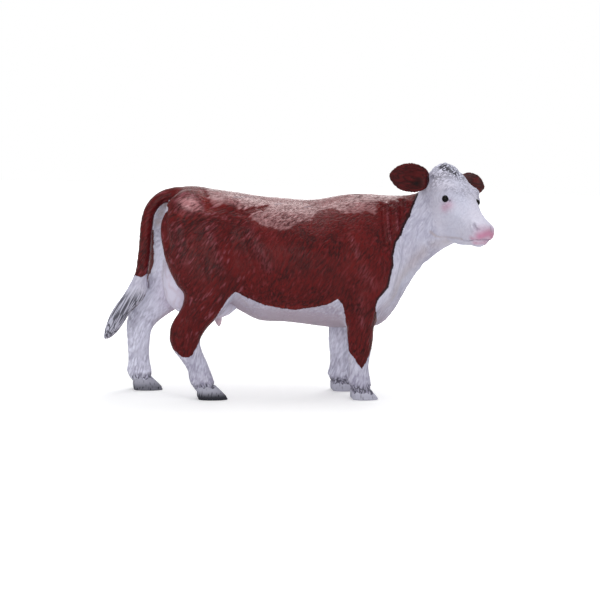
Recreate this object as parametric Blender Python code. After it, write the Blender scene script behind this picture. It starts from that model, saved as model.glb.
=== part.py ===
"""Toy farm animal: a standing red-and-white beef cow, moulded in solid soft plastic.

The figure is sculpted once as one skin, then parted into the pieces that come out of the
moulds: trunk, head, two ears, four legs, udder and tail. Every loose piece has a tapered peg or
root on its seam, which is glued into a matching socket.

Frame: +X from tail to head, +Y to the animal's left, +Z up, ground at Z = 0. Lengths in metres.
"""

import math

import bmesh
import bpy
import numpy as np
from mathutils import Matrix, Vector

MM = 0.001

# Trunk and legs
WITHERS_HEIGHT = 68.0 * MM
BODY_LENGTH = 80.0 * MM
BARREL_WIDTH = 35.0 * MM
LEG_DEPTH = 10.0 * MM
LEG_WIDTH = 8.0 * MM

# Head, measured along the face line from poll to muzzle
HEAD_LENGTH = 29.0 * MM
HEAD_DEPTH = 15.5 * MM
HEAD_WIDTH = 17.5 * MM
HEAD_YAW = math.radians(-60)
HEAD_PITCH = math.radians(42)
HEAD_ROLL = math.radians(-6)
EYE_DIAMETER = 2.8 * MM

EAR_LENGTH = 14.6 * MM
EAR_WIDTH = 9.6 * MM
EAR_THICKNESS = 1.5 * MM

TAIL_THICKNESS = 4.4 * MM
SWITCH_WIDTH = 5.6 * MM

HOOF_LENGTH = 9.2 * MM
HIND_HOOF_LENGTH = 10.2 * MM
HOOF_WIDTH = 7.4 * MM
HOOF_HEIGHT = 3.6 * MM
CLEFT_WIDTH = 0.7 * MM
DEWCLAW_SIZE = 1.0 * MM

TEAT_LENGTH = 3.4 * MM
TEAT_THICKNESS = 1.7 * MM

# How the pieces part and plug together
SEAM_GAP = 0.3 * MM
LEG_PEG_WIDTH = 3.0 * MM
LEG_PEG_LENGTH = 5.0 * MM
HEAD_PEG_WIDTH = 6.0 * MM
HEAD_PEG_LENGTH = 6.0 * MM
TAIL_PEG_WIDTH = 2.2 * MM
TAIL_PEG_LENGTH = 4.0 * MM
PEG_TAPER_SHARE = 0.8

# Fineness of the sculpted skin
SKIN_CELL = 0.75 * MM
SKIN_TRIANGLES = 6600
RING_POINTS = 28
SMALL_RING_POINTS = 16
ROWS_PER_SPAN = 4
SOFTEN_ROUNDS = 4
FILL_ROUNDS = 30
CRUMB = 0.001 * MM

# Trunk and neck: length, top and bottom height, widest height, half width, roundness of top and
# bottom, sideways bend. Shares of BODY_LENGTH, WITHERS_HEIGHT (three), BARREL_WIDTH, none (two),
# BARREL_WIDTH.
TRUNK_SHARES = (
    (-0.560, 0.957, 0.789, 0.878, 0.080, 2.0, 2.0, 0.000),
    (-0.545, 0.996, 0.671, 0.839, 0.190, 2.2, 2.0, 0.000),
    (-0.515, 1.027, 0.573, 0.800, 0.280, 2.3, 1.8, 0.000),
    (-0.460, 1.031, 0.484, 0.785, 0.350, 2.2, 1.8, 0.000),
    (-0.380, 1.017, 0.446, 0.785, 0.395, 2.0, 1.9, 0.000),
    (-0.290, 1.005, 0.427, 0.765, 0.425, 1.9, 2.0, 0.000),
    (-0.190, 0.990, 0.370, 0.735, 0.465, 1.75, 2.1, 0.000),
    (-0.090, 0.982, 0.366, 0.730, 0.495, 1.7, 2.2, 0.000),
    (0.020, 0.976, 0.352, 0.725, 0.500, 1.65, 2.2, 0.000),
    (0.110, 0.994, 0.338, 0.715, 0.470, 1.7, 2.1, 0.000),
    (0.190, 1.010, 0.337, 0.705, 0.425, 1.75, 2.0, 0.000),
    (0.270, 1.012, 0.337, 0.695, 0.380, 1.8, 2.0, -0.005),
    (0.335, 1.006, 0.358, 0.700, 0.320, 1.9, 2.0, -0.010),
    (0.390, 1.007, 0.430, 0.717, 0.265, 1.9, 1.7, -0.020),
    (0.430, 1.011, 0.522, 0.748, 0.235, 1.9, 1.7, -0.035),
    (0.480, 1.022, 0.624, 0.799, 0.215, 1.9, 1.7, -0.055),
    (0.530, 1.038, 0.682, 0.851, 0.205, 1.9, 1.8, -0.075),
    (0.580, 1.055, 0.718, 0.893, 0.190, 2.0, 2.0, -0.095),
    (0.625, 1.036, 0.722, 0.914, 0.145, 2.0, 2.0, -0.110),
)

# Limbs, from the top down: length, sideways, height, depth, width. Shares of BODY_LENGTH,
# BARREL_WIDTH, WITHERS_HEIGHT, LEG_DEPTH and LEG_WIDTH.
LIMB_SHARES = {
    "foreleg_right": (
        (0.296, -0.100, 0.900, 1.50, 0.80),
        (0.292, -0.175, 0.800, 2.10, 1.10),
        (0.280, -0.230, 0.690, 2.20, 1.35),
        (0.264, -0.255, 0.570, 1.90, 1.30),
        (0.238, -0.262, 0.455, 1.14, 1.06),
        (0.229, -0.255, 0.360, 0.94, 0.90),
        (0.224, -0.250, 0.275, 0.98, 0.80),
        (0.225, -0.250, 0.215, 0.82, 0.70),
        (0.225, -0.250, 0.160, 0.72, 0.62),
        (0.231, -0.250, 0.095, 0.78, 0.70),
        (0.243, -0.250, 0.045, 0.72, 0.72),
    ),
    "foreleg_left": (
        (0.280, 0.100, 0.900, 1.50, 0.80),
        (0.272, 0.175, 0.800, 2.05, 1.10),
        (0.255, 0.230, 0.690, 2.10, 1.35),
        (0.230, 0.255, 0.570, 1.80, 1.30),
        (0.203, 0.262, 0.455, 1.25, 1.06),
        (0.188, 0.255, 0.360, 0.98, 0.90),
        (0.184, 0.250, 0.275, 0.98, 0.80),
        (0.184, 0.250, 0.215, 0.88, 0.70),
        (0.182, 0.250, 0.150, 0.78, 0.62),
        (0.182, 0.250, 0.090, 0.80, 0.70),
        (0.190, 0.250, 0.045, 0.72, 0.72),
    ),
    "hind_leg_right": (
        (-0.440, -0.130, 0.980, 1.00, 0.60),
        (-0.462, -0.180, 0.932, 1.80, 0.85),
        (-0.478, -0.215, 0.860, 2.32, 1.15),
        (-0.462, -0.235, 0.775, 2.46, 1.40),
        (-0.440, -0.250, 0.690, 2.40, 1.56),
        (-0.422, -0.275, 0.590, 2.14, 1.45),
        (-0.422, -0.290, 0.500, 1.68, 1.20),
        (-0.462, -0.285, 0.410, 1.16, 0.92),
        (-0.500, -0.278, 0.338, 1.16, 0.74),
        (-0.504, -0.272, 0.280, 1.08, 0.66),
        (-0.483, -0.270, 0.225, 0.86, 0.60),
        (-0.450, -0.270, 0.155, 0.76, 0.58),
        (-0.434, -0.270, 0.100, 0.80, 0.68),
        (-0.413, -0.270, 0.050, 0.74, 0.70),
    ),
    "hind_leg_left": (
        (-0.440, 0.130, 0.980, 1.00, 0.60),
        (-0.468, 0.180, 0.932, 1.85, 0.85),
        (-0.488, 0.215, 0.860, 2.30, 1.15),
        (-0.492, 0.235, 0.775, 2.34, 1.40),
        (-0.502, 0.252, 0.690, 2.26, 1.56),
        (-0.528, 0.275, 0.590, 2.00, 1.45),
        (-0.577, 0.290, 0.495, 1.54, 1.20),
        (-0.640, 0.285, 0.410, 1.14, 0.92),
        (-0.681, 0.278, 0.340, 1.00, 0.74),
        (-0.687, 0.272, 0.260, 0.86, 0.64),
        (-0.685, 0.270, 0.175, 0.78, 0.60),
        (-0.678, 0.270, 0.095, 0.84, 0.70),
        (-0.662, 0.270, 0.050, 0.74, 0.70),
    ),
}
# Where each hoof stands. Shares of BODY_LENGTH and BARREL_WIDTH.
HOOF_PLACE_SHARES = {
    "foreleg_right": (0.246, -0.250),
    "foreleg_left": (0.196, 0.250),
    "hind_leg_right": (-0.395, -0.270),
    "hind_leg_left": (-0.651, 0.270),
}
# One claw from the sole up: height, heel, toe, inner side, outer side. Shares of HOOF_HEIGHT,
# the hoof's length (two) and HOOF_WIDTH (two); the inner side starts at the cleft.
CLAW_SHARES = (
    (0.00, -0.42, 0.56, 0.00, 0.50),
    (0.20, -0.45, 0.54, 0.00, 0.50),
    (0.65, -0.45, 0.38, 0.00, 0.47),
    (1.00, -0.42, 0.25, 0.02, 0.43),
    (1.25, -0.30, 0.14, 0.06, 0.34),
)
CLAW_ROUNDNESS = 2.6

# Where the poll sits, and the head's rows: along, top, bottom, widest, half width, roundness of
# top and bottom. Shares of HEAD_LENGTH, HEAD_DEPTH (three) and HEAD_WIDTH.
POLL_SHARE = (0.595, -0.150, 1.147)
HEAD_SHARES = (
    (-0.12, -0.26, -0.62, -0.42, 0.18, 2.0, 2.0),
    (-0.06, -0.10, -0.80, -0.38, 0.34, 2.1, 2.0),
    (0.05, 0.00, -0.90, -0.36, 0.42, 2.3, 2.0),
    (0.17, 0.04, -0.96, -0.36, 0.45, 2.4, 2.0),
    (0.30, 0.04, -1.00, -0.30, 0.47, 2.5, 1.9),
    (0.42, 0.00, -1.03, -0.30, 0.45, 2.3, 1.8),
    (0.55, -0.03, -1.06, -0.36, 0.37, 2.1, 1.7),
    (0.68, -0.04, -1.01, -0.38, 0.30, 2.1, 1.9),
    (0.79, -0.03, -0.89, -0.36, 0.27, 2.2, 2.0),
    (0.89, -0.02, -0.69, -0.32, 0.28, 2.4, 2.3),
    (0.96, -0.04, -0.54, -0.30, 0.27, 2.4, 2.4),
    (1.01, -0.14, -0.42, -0.28, 0.17, 2.2, 2.2),
)
# Lumps on the head: along, sideways, up and the three radii. Shares of HEAD_LENGTH, HEAD_WIDTH
# and HEAD_DEPTH, twice.
HEAD_LUMP_SHARES = (
    (-0.01, 0.00, -0.14, 0.11, 0.32, 0.19),
    (0.10, 0.00, -0.06, 0.16, 0.26, 0.13),
    (0.34, 0.35, -0.10, 0.10, 0.13, 0.13),
    (0.34, -0.35, -0.10, 0.10, 0.13, 0.13),
    (0.36, 0.22, -0.60, 0.22, 0.20, 0.34),
    (0.36, -0.22, -0.60, 0.22, 0.20, 0.34),
    (0.90, 0.17, -0.20, 0.08, 0.12, 0.17),
    (0.90, -0.17, -0.20, 0.08, 0.12, 0.17),
    (0.95, 0.00, -0.48, 0.08, 0.18, 0.11),
)
EYE_SHARE = (0.405, 0.415, -0.210)

# Ear: along, half width, thickness and hollow. Shares of EAR_LENGTH, EAR_WIDTH, EAR_THICKNESS
# and EAR_WIDTH.
EAR_SHARES = (
    (-0.220, 0.120, 1.40, 0.000),
    (-0.080, 0.180, 1.70, 0.020),
    (0.020, 0.290, 1.80, 0.080),
    (0.110, 0.400, 1.50, 0.160),
    (0.240, 0.480, 1.20, 0.200),
    (0.400, 0.520, 1.05, 0.190),
    (0.560, 0.510, 1.00, 0.150),
    (0.730, 0.440, 0.95, 0.090),
    (0.880, 0.300, 0.85, 0.040),
    (1.000, 0.100, 0.60, 0.000),
)
EAR_ROOT_SHARE = (0.050, 0.430, -0.320)
EAR_FACING = math.radians(38)
EAR_RIGHT_DROOP = math.radians(11)
EAR_RIGHT_SWEEP = math.radians(14)
EAR_LEFT_DROOP = math.radians(6)
EAR_LEFT_SWEEP = math.radians(2)
EARS = (
    ("ear_right", -1, EAR_RIGHT_DROOP, EAR_RIGHT_SWEEP),
    ("ear_left", 1, EAR_LEFT_DROOP, EAR_LEFT_SWEEP),
)

# Tail: length, sideways, height, depth, width, then the same for the switch of hair.
TAIL_SHARES = (
    (-0.440, 0.000, 0.964, 1.30, 1.50),
    (-0.512, 0.000, 0.985, 1.18, 1.30),
    (-0.558, 0.000, 0.989, 1.12, 1.18),
    (-0.614, 0.000, 0.962, 1.08, 1.08),
    (-0.653, 0.000, 0.906, 1.04, 1.04),
    (-0.665, 0.000, 0.837, 1.08, 1.04),
    (-0.671, 0.000, 0.734, 1.08, 1.02),
    (-0.677, 0.000, 0.655, 1.08, 1.00),
    (-0.684, 0.000, 0.596, 1.10, 1.00),
    (-0.698, 0.000, 0.540, 1.10, 0.96),
)
SWITCH_SHARES = (
    (-0.683, 0.000, 0.600, 0.66, 0.60),
    (-0.691, 0.000, 0.558, 1.06, 0.84),
    (-0.699, 0.000, 0.516, 1.22, 0.96),
    (-0.719, 0.000, 0.476, 1.20, 1.00),
    (-0.746, 0.000, 0.440, 1.06, 1.00),
    (-0.772, 0.000, 0.394, 1.04, 0.94),
    (-0.794, 0.000, 0.346, 0.96, 0.82),
    (-0.812, 0.000, 0.306, 0.78, 0.62),
    (-0.838, 0.000, 0.264, 0.28, 0.26),
)

# Udder: length, top, bottom, half width. Shares of BODY_LENGTH, WITHERS_HEIGHT (two) and
# BARREL_WIDTH. Teats: length, sideways and height of the root, same shares.
UDDER_SHARES = (
    (-0.588, 0.640, 0.520, 0.06),
    (-0.572, 0.670, 0.462, 0.11),
    (-0.530, 0.660, 0.415, 0.15),
    (-0.475, 0.615, 0.398, 0.17),
    (-0.420, 0.570, 0.393, 0.17),
    (-0.365, 0.530, 0.385, 0.17),
    (-0.320, 0.495, 0.400, 0.14),
    (-0.285, 0.475, 0.435, 0.08),
)
UDDER_ROUNDNESS = 2.3
TEAT_SHARES = (
    (-0.425, 0.075, 0.418),
    (-0.425, -0.075, 0.418),
    (-0.360, 0.075, 0.418),
    (-0.360, -0.075, 0.418),
)

# Relief seen from the side: radius, height, then the points of the stroke. Radius and height
# are shares of BARREL_WIDTH, points of BODY_LENGTH and WITHERS_HEIGHT.
STROKE_SHARES = (
    (0.120, 0.022, (-0.346, 0.990)),
    (0.100, 0.020, (-0.485, 0.960)),
    (0.080, -0.012, (-0.417, 0.930)),
    (0.080, 0.012, (-0.417, 0.865), (-0.363, 0.665)),
    (0.060, -0.007, (-0.465, 0.880), (-0.427, 0.665)),
    (0.110, -0.024, (-0.313, 0.900), (-0.300, 0.680)),
    (0.070, 0.010, (-0.238, 0.850), (-0.163, 0.650)),
    (0.070, -0.006, (-0.105, 0.815), (-0.084, 0.640)),
    (0.055, 0.009, (0.186, 0.830), (0.236, 0.700), (0.278, 0.550)),
    (0.080, -0.014, (0.124, 0.815), (0.150, 0.540)),
    (0.055, -0.009, (0.295, 0.865), (0.328, 0.565)),
    (0.024, 0.010, (0.350, 0.950), (0.350, 0.765)),
    (0.024, 0.010, (0.378, 0.950), (0.370, 0.790)),
    (0.030, -0.009, (0.400, 0.780), (0.360, 0.550)),
    (0.030, -0.009, (0.435, 0.760), (0.400, 0.560)),
    (0.050, -0.008, (-0.500, 0.815), (-0.480, 0.540)),
)

# Seams: the peg's place, then how far the block reaches along, across and away from the seam.
# Shares of BODY_LENGTH, BARREL_WIDTH and WITHERS_HEIGHT, twice.
LEG_SEAM_SHARES = {
    "foreleg_right": (0.230, -0.252, 0.310, 0.120, 0.170, 0.400),
    "foreleg_left": (0.185, 0.252, 0.310, 0.120, 0.170, 0.400),
    "hind_leg_right": (-0.464, -0.285, 0.400, 0.160, 0.180, 0.500),
    "hind_leg_left": (-0.634, 0.285, 0.400, 0.160, 0.170, 0.500),
}
TAIL_SEAM_SHARE = (-0.580, 0.000, 0.974)
TAIL_REACH_SHARE = (0.920, 0.560, 0.360)
HEAD_SEAM_SHARE = (0.545, -0.130, 0.966)
HEAD_REACH_SHARE = (1.000, 1.000, 1.500)
HEAD_SEAM_YAW = math.radians(-30)
HEAD_SEAM_PITCH = math.radians(-8)


def place_of(shares):
    return Vector(
        (shares[0] * BODY_LENGTH, shares[1] * BARREL_WIDTH, shares[2] * WITHERS_HEIGHT)
    )


def spread(rows, per_span=ROWS_PER_SPAN):
    """Rows between the given ones, on a Catmull-Rom curve."""
    rows = np.array(rows, float)
    ends = np.vstack([2 * rows[0] - rows[1], rows, 2 * rows[-1] - rows[-2]])
    made = []
    for i in range(1, len(ends) - 2):
        a, b, c, d = ends[i - 1 : i + 3]
        for t in np.arange(per_span) / per_span:
            bend = (2 * a - 5 * b + 4 * c - d) * t**2 + (3 * b - a - 3 * c + d) * t**3
            made.append((2 * b + (c - a) * t + bend) / 2)
    made.append(ends[-2])
    return np.array(made)


def oval(half_width, up, down, round_up=2.0, round_down=2.0, count=RING_POINTS):
    """One ring in its own plane: (sideways, upward) pairs, squarer where roundness is above 2."""
    made = []
    for k in range(count):
        angle = math.tau * k / count
        across, tall = math.cos(angle), math.sin(angle)
        power = 2 / (round_up if tall >= 0 else round_down)
        side = math.copysign(abs(across) ** power, across) * half_width
        rise = math.copysign(abs(tall) ** power, tall) * (up if tall >= 0 else down)
        made.append((side, rise))
    return made


def lofted(rings):
    """(points, faces) of a closed tube through the rings, with flat ends."""
    points = [p for ring in rings for p in ring]
    n = len(rings[0])
    faces = [tuple(range(n))[::-1]]
    for r in range(len(rings) - 1):
        for k in range(n):
            a, b = r * n + k, r * n + (k + 1) % n
            faces.append((a, b, b + n, a + n))
    faces.append(tuple(range(len(points) - n, len(points))))
    return points, faces


def swept(centres, depths, widths):
    """A tube through the centres whose rings stand square to its path."""
    rings = []
    for i, centre in enumerate(centres):
        before, after = centres[max(i - 1, 0)], centres[min(i + 1, len(centres) - 1)]
        along = (after - before).normalized()
        front = Vector((0, 1, 0)).cross(along).normalized()
        side = along.cross(front)
        ring = oval(widths[i] / 2, depths[i] / 2, depths[i] / 2)
        rings.append([centre - side * s + front * r for s, r in ring])
    return lofted(rings)


def ball(place, centre, radii):
    """A closed egg with the given centre and radii in the place's frame."""
    rings = []
    for k in range(1, SMALL_RING_POINTS // 2):
        angle = math.tau * k / SMALL_RING_POINTS
        out = math.sin(angle)
        ring = oval(out * radii[1], out * radii[2], out * radii[2], count=SMALL_RING_POINTS)
        back = centre[0] - math.cos(angle) * radii[0]
        rings.append([place @ Vector((back, centre[1] + s, centre[2] + r)) for s, r in ring])
    return lofted(rings)


def trunk_skin():
    rings = []
    for x, top, bottom, widest, half, up_round, down_round, bend in spread(TRUNK_SHARES):
        level = widest * WITHERS_HEIGHT
        up = top * WITHERS_HEIGHT - level
        down = level - bottom * WITHERS_HEIGHT
        side = bend * BARREL_WIDTH
        ring = oval(half * BARREL_WIDTH, up, down, up_round, down_round)
        rings.append([Vector((x * BODY_LENGTH, side + s, level + r)) for s, r in ring])
    return lofted(rings)


def limb_skin(shares, depth, width):
    rows = spread(shares)
    centres = [place_of(row) for row in rows]
    return swept(centres, rows[:, 3] * depth, rows[:, 4] * width)


def head_place():
    """The head's own frame: +X down the face line, +Y to its left, +Z out of the face."""
    turn = (
        Matrix.Rotation(HEAD_YAW, 4, "Z")
        @ Matrix.Rotation(HEAD_PITCH, 4, "Y")
        @ Matrix.Rotation(HEAD_ROLL, 4, "X")
    )
    return Matrix.Translation(place_of(POLL_SHARE)) @ turn


def on_head(shares, side=1):
    return Vector(
        (shares[0] * HEAD_LENGTH, side * shares[1] * HEAD_WIDTH, shares[2] * HEAD_DEPTH)
    )


def head_skins():
    place = head_place()
    rings = []
    for x, top, bottom, widest, half, up_round, down_round in spread(HEAD_SHARES):
        level = widest * HEAD_DEPTH
        up = top * HEAD_DEPTH - level
        down = level - bottom * HEAD_DEPTH
        ring = oval(half * HEAD_WIDTH, up, down, up_round, down_round)
        rings.append([place @ Vector((x * HEAD_LENGTH, s, level + r)) for s, r in ring])
    lumps = [ball(place, on_head(row), on_head(row[3:])) for row in HEAD_LUMP_SHARES]
    return [lofted(rings)] + lumps


def dewclaw_skins(name):
    """Two small knobs behind the fetlock."""
    row = LIMB_SHARES[name][-2]
    fetlock = place_of(row)
    back = row[3] * LEG_DEPTH / 2
    apart = row[4] * LEG_WIDTH / 4
    made = []
    for side in (-1, 1):
        centre = fetlock + Vector((-back, side * apart, 0))
        made.append(ball(Matrix(), centre, (DEWCLAW_SIZE,) * 3))
    return made


def mesh_of(skins):
    points, faces = [], []
    for more_points, more_faces in skins:
        base = len(points)
        points += [tuple(p) for p in more_points]
        faces += [tuple(i + base for i in face) for face in more_faces]
    mesh = bpy.data.meshes.new("skin")
    mesh.from_pydata(points, [], faces)
    shaped = bmesh.new()
    shaped.from_mesh(mesh)
    bmesh.ops.recalc_face_normals(shaped, faces=shaped.faces)
    shaped.to_mesh(mesh)
    shaped.free()
    return mesh


def settled(mesh, kind, **values):
    """The mesh with one modifier applied."""
    obj = bpy.data.objects.new("work", mesh)
    bpy.context.scene.collection.objects.link(obj)
    modifier = obj.modifiers.new("work", kind)
    for key, value in values.items():
        setattr(modifier, key, value)
    graph = bpy.context.evaluated_depsgraph_get()
    made = bpy.data.meshes.new_from_object(obj.evaluated_get(graph))
    bpy.data.objects.remove(obj)
    return made


def combined(mesh, other, operation):
    """The mesh joined with, cut by or kept inside the other mesh."""
    tool = bpy.data.objects.new("tool", other)
    bpy.context.scene.collection.objects.link(tool)
    made = settled(mesh, "BOOLEAN", object=tool, operation=operation, solver="EXACT")
    bpy.data.objects.remove(tool)
    return made


def vectors_of(items, key):
    flat = np.empty(len(items) * 3)
    items.foreach_get(key, flat)
    return flat.reshape(-1, 3)


def moved_to(mesh, points):
    mesh.vertices.foreach_set("co", points.ravel())
    mesh.update()


def pull_of(points, edges):
    """For every point, the step to the middle of its neighbours."""
    count = len(points)
    near, far = edges[:, 0], edges[:, 1]
    degree = np.bincount(near, minlength=count) + np.bincount(far, minlength=count)
    total = np.empty_like(points)
    for axis in range(3):
        total[:, axis] = np.bincount(near, weights=points[far, axis], minlength=count)
        total[:, axis] += np.bincount(far, weights=points[near, axis], minlength=count)
    return total / degree[:, None] - points


def filled(mesh):
    """Softens the skin and rounds its inner corners, like putty pressed into them."""
    flat = np.empty(len(mesh.edges) * 2, dtype=np.int32)
    mesh.edges.foreach_get("vertices", flat)
    edges = flat.reshape(-1, 2)
    points = vectors_of(mesh.vertices, "co")
    for _ in range(SOFTEN_ROUNDS):
        points = points + pull_of(points, edges) * 0.6
    moved_to(mesh, points)
    for _ in range(FILL_ROUNDS):
        pull = pull_of(points, edges)
        normals = vectors_of(mesh.vertex_normals, "vector")
        inner = np.einsum("ij,ij->i", pull, normals) > 0
        points = points + pull * np.where(inner, 0.6, 0.06)[:, None]
        moved_to(mesh, points)
    return mesh


def distance_to_line(seen, line):
    """Shortest distance from every point to a broken line; one point stands for itself."""
    line = np.array(line)
    if len(line) == 1:
        return np.linalg.norm(seen - line[0], axis=1)
    nearest = []
    for start, end in zip(line[:-1], line[1:]):
        way = end - start
        share = np.clip((seen - start) @ way / (way @ way), 0, 1)
        nearest.append(np.linalg.norm(seen - start - share[:, None] * way, axis=1))
    return np.min(nearest, axis=0)


def stroked(mesh):
    """Raises and sinks the relief strokes along the skin's own normals."""
    points = vectors_of(mesh.vertices, "co")
    normals = vectors_of(mesh.vertex_normals, "vector")
    seen = points[:, [0, 2]]
    facing = np.clip(np.abs(normals[:, 1]) * 2, 0, 1)
    rise = np.zeros(len(points))
    for radius, height, *shares in STROKE_SHARES:
        line = [(x * BODY_LENGTH, z * WITHERS_HEIGHT) for x, z in shares]
        away = distance_to_line(seen, line) / (radius * BARREL_WIDTH)
        rise += height * BARREL_WIDTH * np.exp(-(away**2))
    moved_to(mesh, points + (rise * facing)[:, None] * normals)
    return mesh


def sculpted():
    """The whole animal as one closed skin, without ears, eyes, udder and hooves."""
    skins = [trunk_skin()] + head_skins()
    for name, rows in LIMB_SHARES.items():
        skins.append(limb_skin(rows, LEG_DEPTH, LEG_WIDTH))
        skins += dewclaw_skins(name)
    skins.append(limb_skin(TAIL_SHARES, TAIL_THICKNESS, TAIL_THICKNESS))
    skins.append(limb_skin(SWITCH_SHARES, SWITCH_WIDTH, SWITCH_WIDTH))
    mesh = settled(mesh_of(skins), "REMESH", mode="VOXEL", voxel_size=SKIN_CELL)
    mesh = stroked(filled(mesh))
    triangles = sum(len(face.vertices) - 2 for face in mesh.polygons)
    return settled(mesh, "DECIMATE", ratio=min(1, SKIN_TRIANGLES / triangles))


def claw_skins(name):
    """The two claws of one hoof, soles on the ground, with the cleft between them."""
    x, y = HOOF_PLACE_SHARES[name]
    hoof = HIND_HOOF_LENGTH if name.startswith("hind") else HOOF_LENGTH
    made = []
    for side in (-1, 1):
        rings = []
        for height, heel, toe, inner, outer in CLAW_SHARES:
            long = (toe - heel) * hoof / 2
            middle = x * BODY_LENGTH + (toe + heel) * hoof / 2
            near = CLEFT_WIDTH / 2 + inner * HOOF_WIDTH
            wide = (outer * HOOF_WIDTH - near) / 2
            across = y * BARREL_WIDTH + side * (near + wide)
            ring = []
            outline = oval(wide, long, long, CLAW_ROUNDNESS, CLAW_ROUNDNESS, SMALL_RING_POINTS)
            for s, r in outline:
                narrow = 1 - 0.3 * max(0, r / long) ** 2
                lean = side * (narrow - 1) * wide
                spot = (middle + r, across + s * narrow + lean, height * HOOF_HEIGHT)
                ring.append(Vector(spot))
            rings.append(ring)
        made.append(lofted(rings))
    return made


def ear_skin(side, droop, sweep, grow=0):
    """A leaf with a hollow face; its narrow root plugs into the head."""
    turn = (
        Matrix.Rotation(side * sweep, 4, "Z")
        @ Matrix.Rotation(-side * (droop + math.radians(90)), 4, "X")
        @ Matrix.Rotation(-side * EAR_FACING, 4, "Z")
    )
    root = Matrix.Translation(on_head(EAR_ROOT_SHARE, side))
    place = head_place() @ root @ turn
    rings = []
    for along, half, thick, hollow in spread(EAR_SHARES, 2):
        ring = []
        for k in range(SMALL_RING_POINTS):
            angle = math.tau * k / SMALL_RING_POINTS
            across = math.cos(angle)
            depth = math.sin(angle) * (thick * EAR_THICKNESS / 2 + grow)
            depth -= hollow * EAR_WIDTH * (1 - across**2)
            spot = (depth, (half * EAR_WIDTH + grow) * across, along * EAR_LENGTH)
            ring.append(place @ Vector(spot))
        rings.append(ring)
    return lofted(rings)


def udder_skin(grow=0):
    rings = []
    for x, top, bottom, half in spread(UDDER_SHARES, 2):
        level = (top + bottom) / 2 * WITHERS_HEIGHT
        tall = (top - bottom) / 2 * WITHERS_HEIGHT + grow
        wide = half * BARREL_WIDTH + grow
        ring = oval(wide, tall, tall, UDDER_ROUNDNESS, UDDER_ROUNDNESS, SMALL_RING_POINTS)
        rings.append([Vector((x * BODY_LENGTH, s, level + r)) for s, r in ring])
    return lofted(rings)


def teat_skins():
    made = []
    for row in TEAT_SHARES:
        root = place_of(row)
        centre = root - Vector((0, 0, TEAT_LENGTH / 2))
        round_off = TEAT_THICKNESS / 2
        made.append(ball(Matrix(), centre, (round_off, round_off, TEAT_LENGTH)))
    return made


def parting_block(place, reach, peg_width, peg_length, grow):
    """A block behind the seam plane with a tapered peg standing on it, peg axis +Z."""
    wide, deep = reach[0] + grow, reach[1] + grow
    foot = peg_width / 2 + grow
    tip = peg_width / 2 * PEG_TAPER_SHARE + grow
    squares = (
        (wide, deep, -reach[2]),
        (wide, deep, grow),
        (foot, foot, grow),
        (tip, tip, peg_length + grow),
    )
    corners = ((-1, -1), (1, -1), (1, 1), (-1, 1))
    rings = []
    for x, y, z in squares:
        rings.append([place @ Vector((across * x, along * y, z)) for across, along in corners])
    return mesh_of([lofted(rings)])


def largest_part(mesh):
    """The mesh without the crumbs that a cut leaves beside its biggest body."""
    shaped = bmesh.new()
    shaped.from_mesh(mesh)
    left = set(shaped.verts)
    parts = []
    while left:
        start = left.pop()
        part = [start]
        for vert in part:
            fresh = {edge.other_vert(vert) for edge in vert.link_edges} & left
            left -= fresh
            part.extend(fresh)
        parts.append(part)
    parts.sort(key=len)
    crumbs = [vert for part in parts[:-1] for vert in part]
    bmesh.ops.delete(shaped, geom=crumbs, context="VERTS")
    shaped.to_mesh(mesh)
    shaped.free()
    return mesh


def parted(mesh, *block):
    """(what stays, the piece that comes away)."""
    piece = combined(mesh, parting_block(*block, 0), "INTERSECT")
    rest = combined(mesh, parting_block(*block, SEAM_GAP), "DIFFERENCE")
    return largest_part(rest), largest_part(piece)


def leg_seam(name):
    x, y, z, along, across, away = LEG_SEAM_SHARES[name]
    reach = (along * BODY_LENGTH, across * BARREL_WIDTH, away * WITHERS_HEIGHT)
    place = Matrix.Translation(place_of((x, y, z)))
    return place, reach, LEG_PEG_WIDTH, LEG_PEG_LENGTH


def tail_seam():
    tall, across, away = TAIL_REACH_SHARE
    widest = max(TAIL_THICKNESS, SWITCH_WIDTH)
    reach = (tall * WITHERS_HEIGHT, across * widest, away * BODY_LENGTH)
    place = Matrix.Translation(place_of(TAIL_SEAM_SHARE))
    turn = Matrix.Rotation(math.radians(90), 4, "Y")
    return place @ turn, reach, TAIL_PEG_WIDTH, TAIL_PEG_LENGTH


def head_seam():
    reach = [share * HEAD_LENGTH for share in HEAD_REACH_SHARE]
    turn = (
        Matrix.Rotation(HEAD_SEAM_YAW, 4, "Z")
        @ Matrix.Rotation(HEAD_SEAM_PITCH, 4, "Y")
        @ Matrix.Rotation(math.radians(-90), 4, "Y")
    )
    place = Matrix.Translation(place_of(HEAD_SEAM_SHARE))
    return place @ turn, reach, HEAD_PEG_WIDTH, HEAD_PEG_LENGTH


def tidied(mesh):
    """Triangles only, without crumbs thinner than CRUMB."""
    shaped = bmesh.new()
    shaped.from_mesh(mesh)
    bmesh.ops.remove_doubles(shaped, verts=shaped.verts, dist=CRUMB)
    bmesh.ops.dissolve_degenerate(shaped, edges=shaped.edges, dist=CRUMB)
    bmesh.ops.triangulate(shaped, faces=shaped.faces)
    shaped.to_mesh(mesh)
    shaped.free()
    return mesh


PAINTS = {
    "body": ((0.150, 0.022, 0.018), 0.42),
    "head": ((0.780, 0.760, 0.790), 0.55),
    "ear": ((0.120, 0.020, 0.017), 0.48),
    "foreleg": ((0.760, 0.740, 0.780), 0.55),
    "hind_leg": ((0.760, 0.740, 0.780), 0.55),
    "tail": ((0.140, 0.021, 0.018), 0.45),
    "udder": ((0.720, 0.560, 0.560), 0.50),
}


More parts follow.
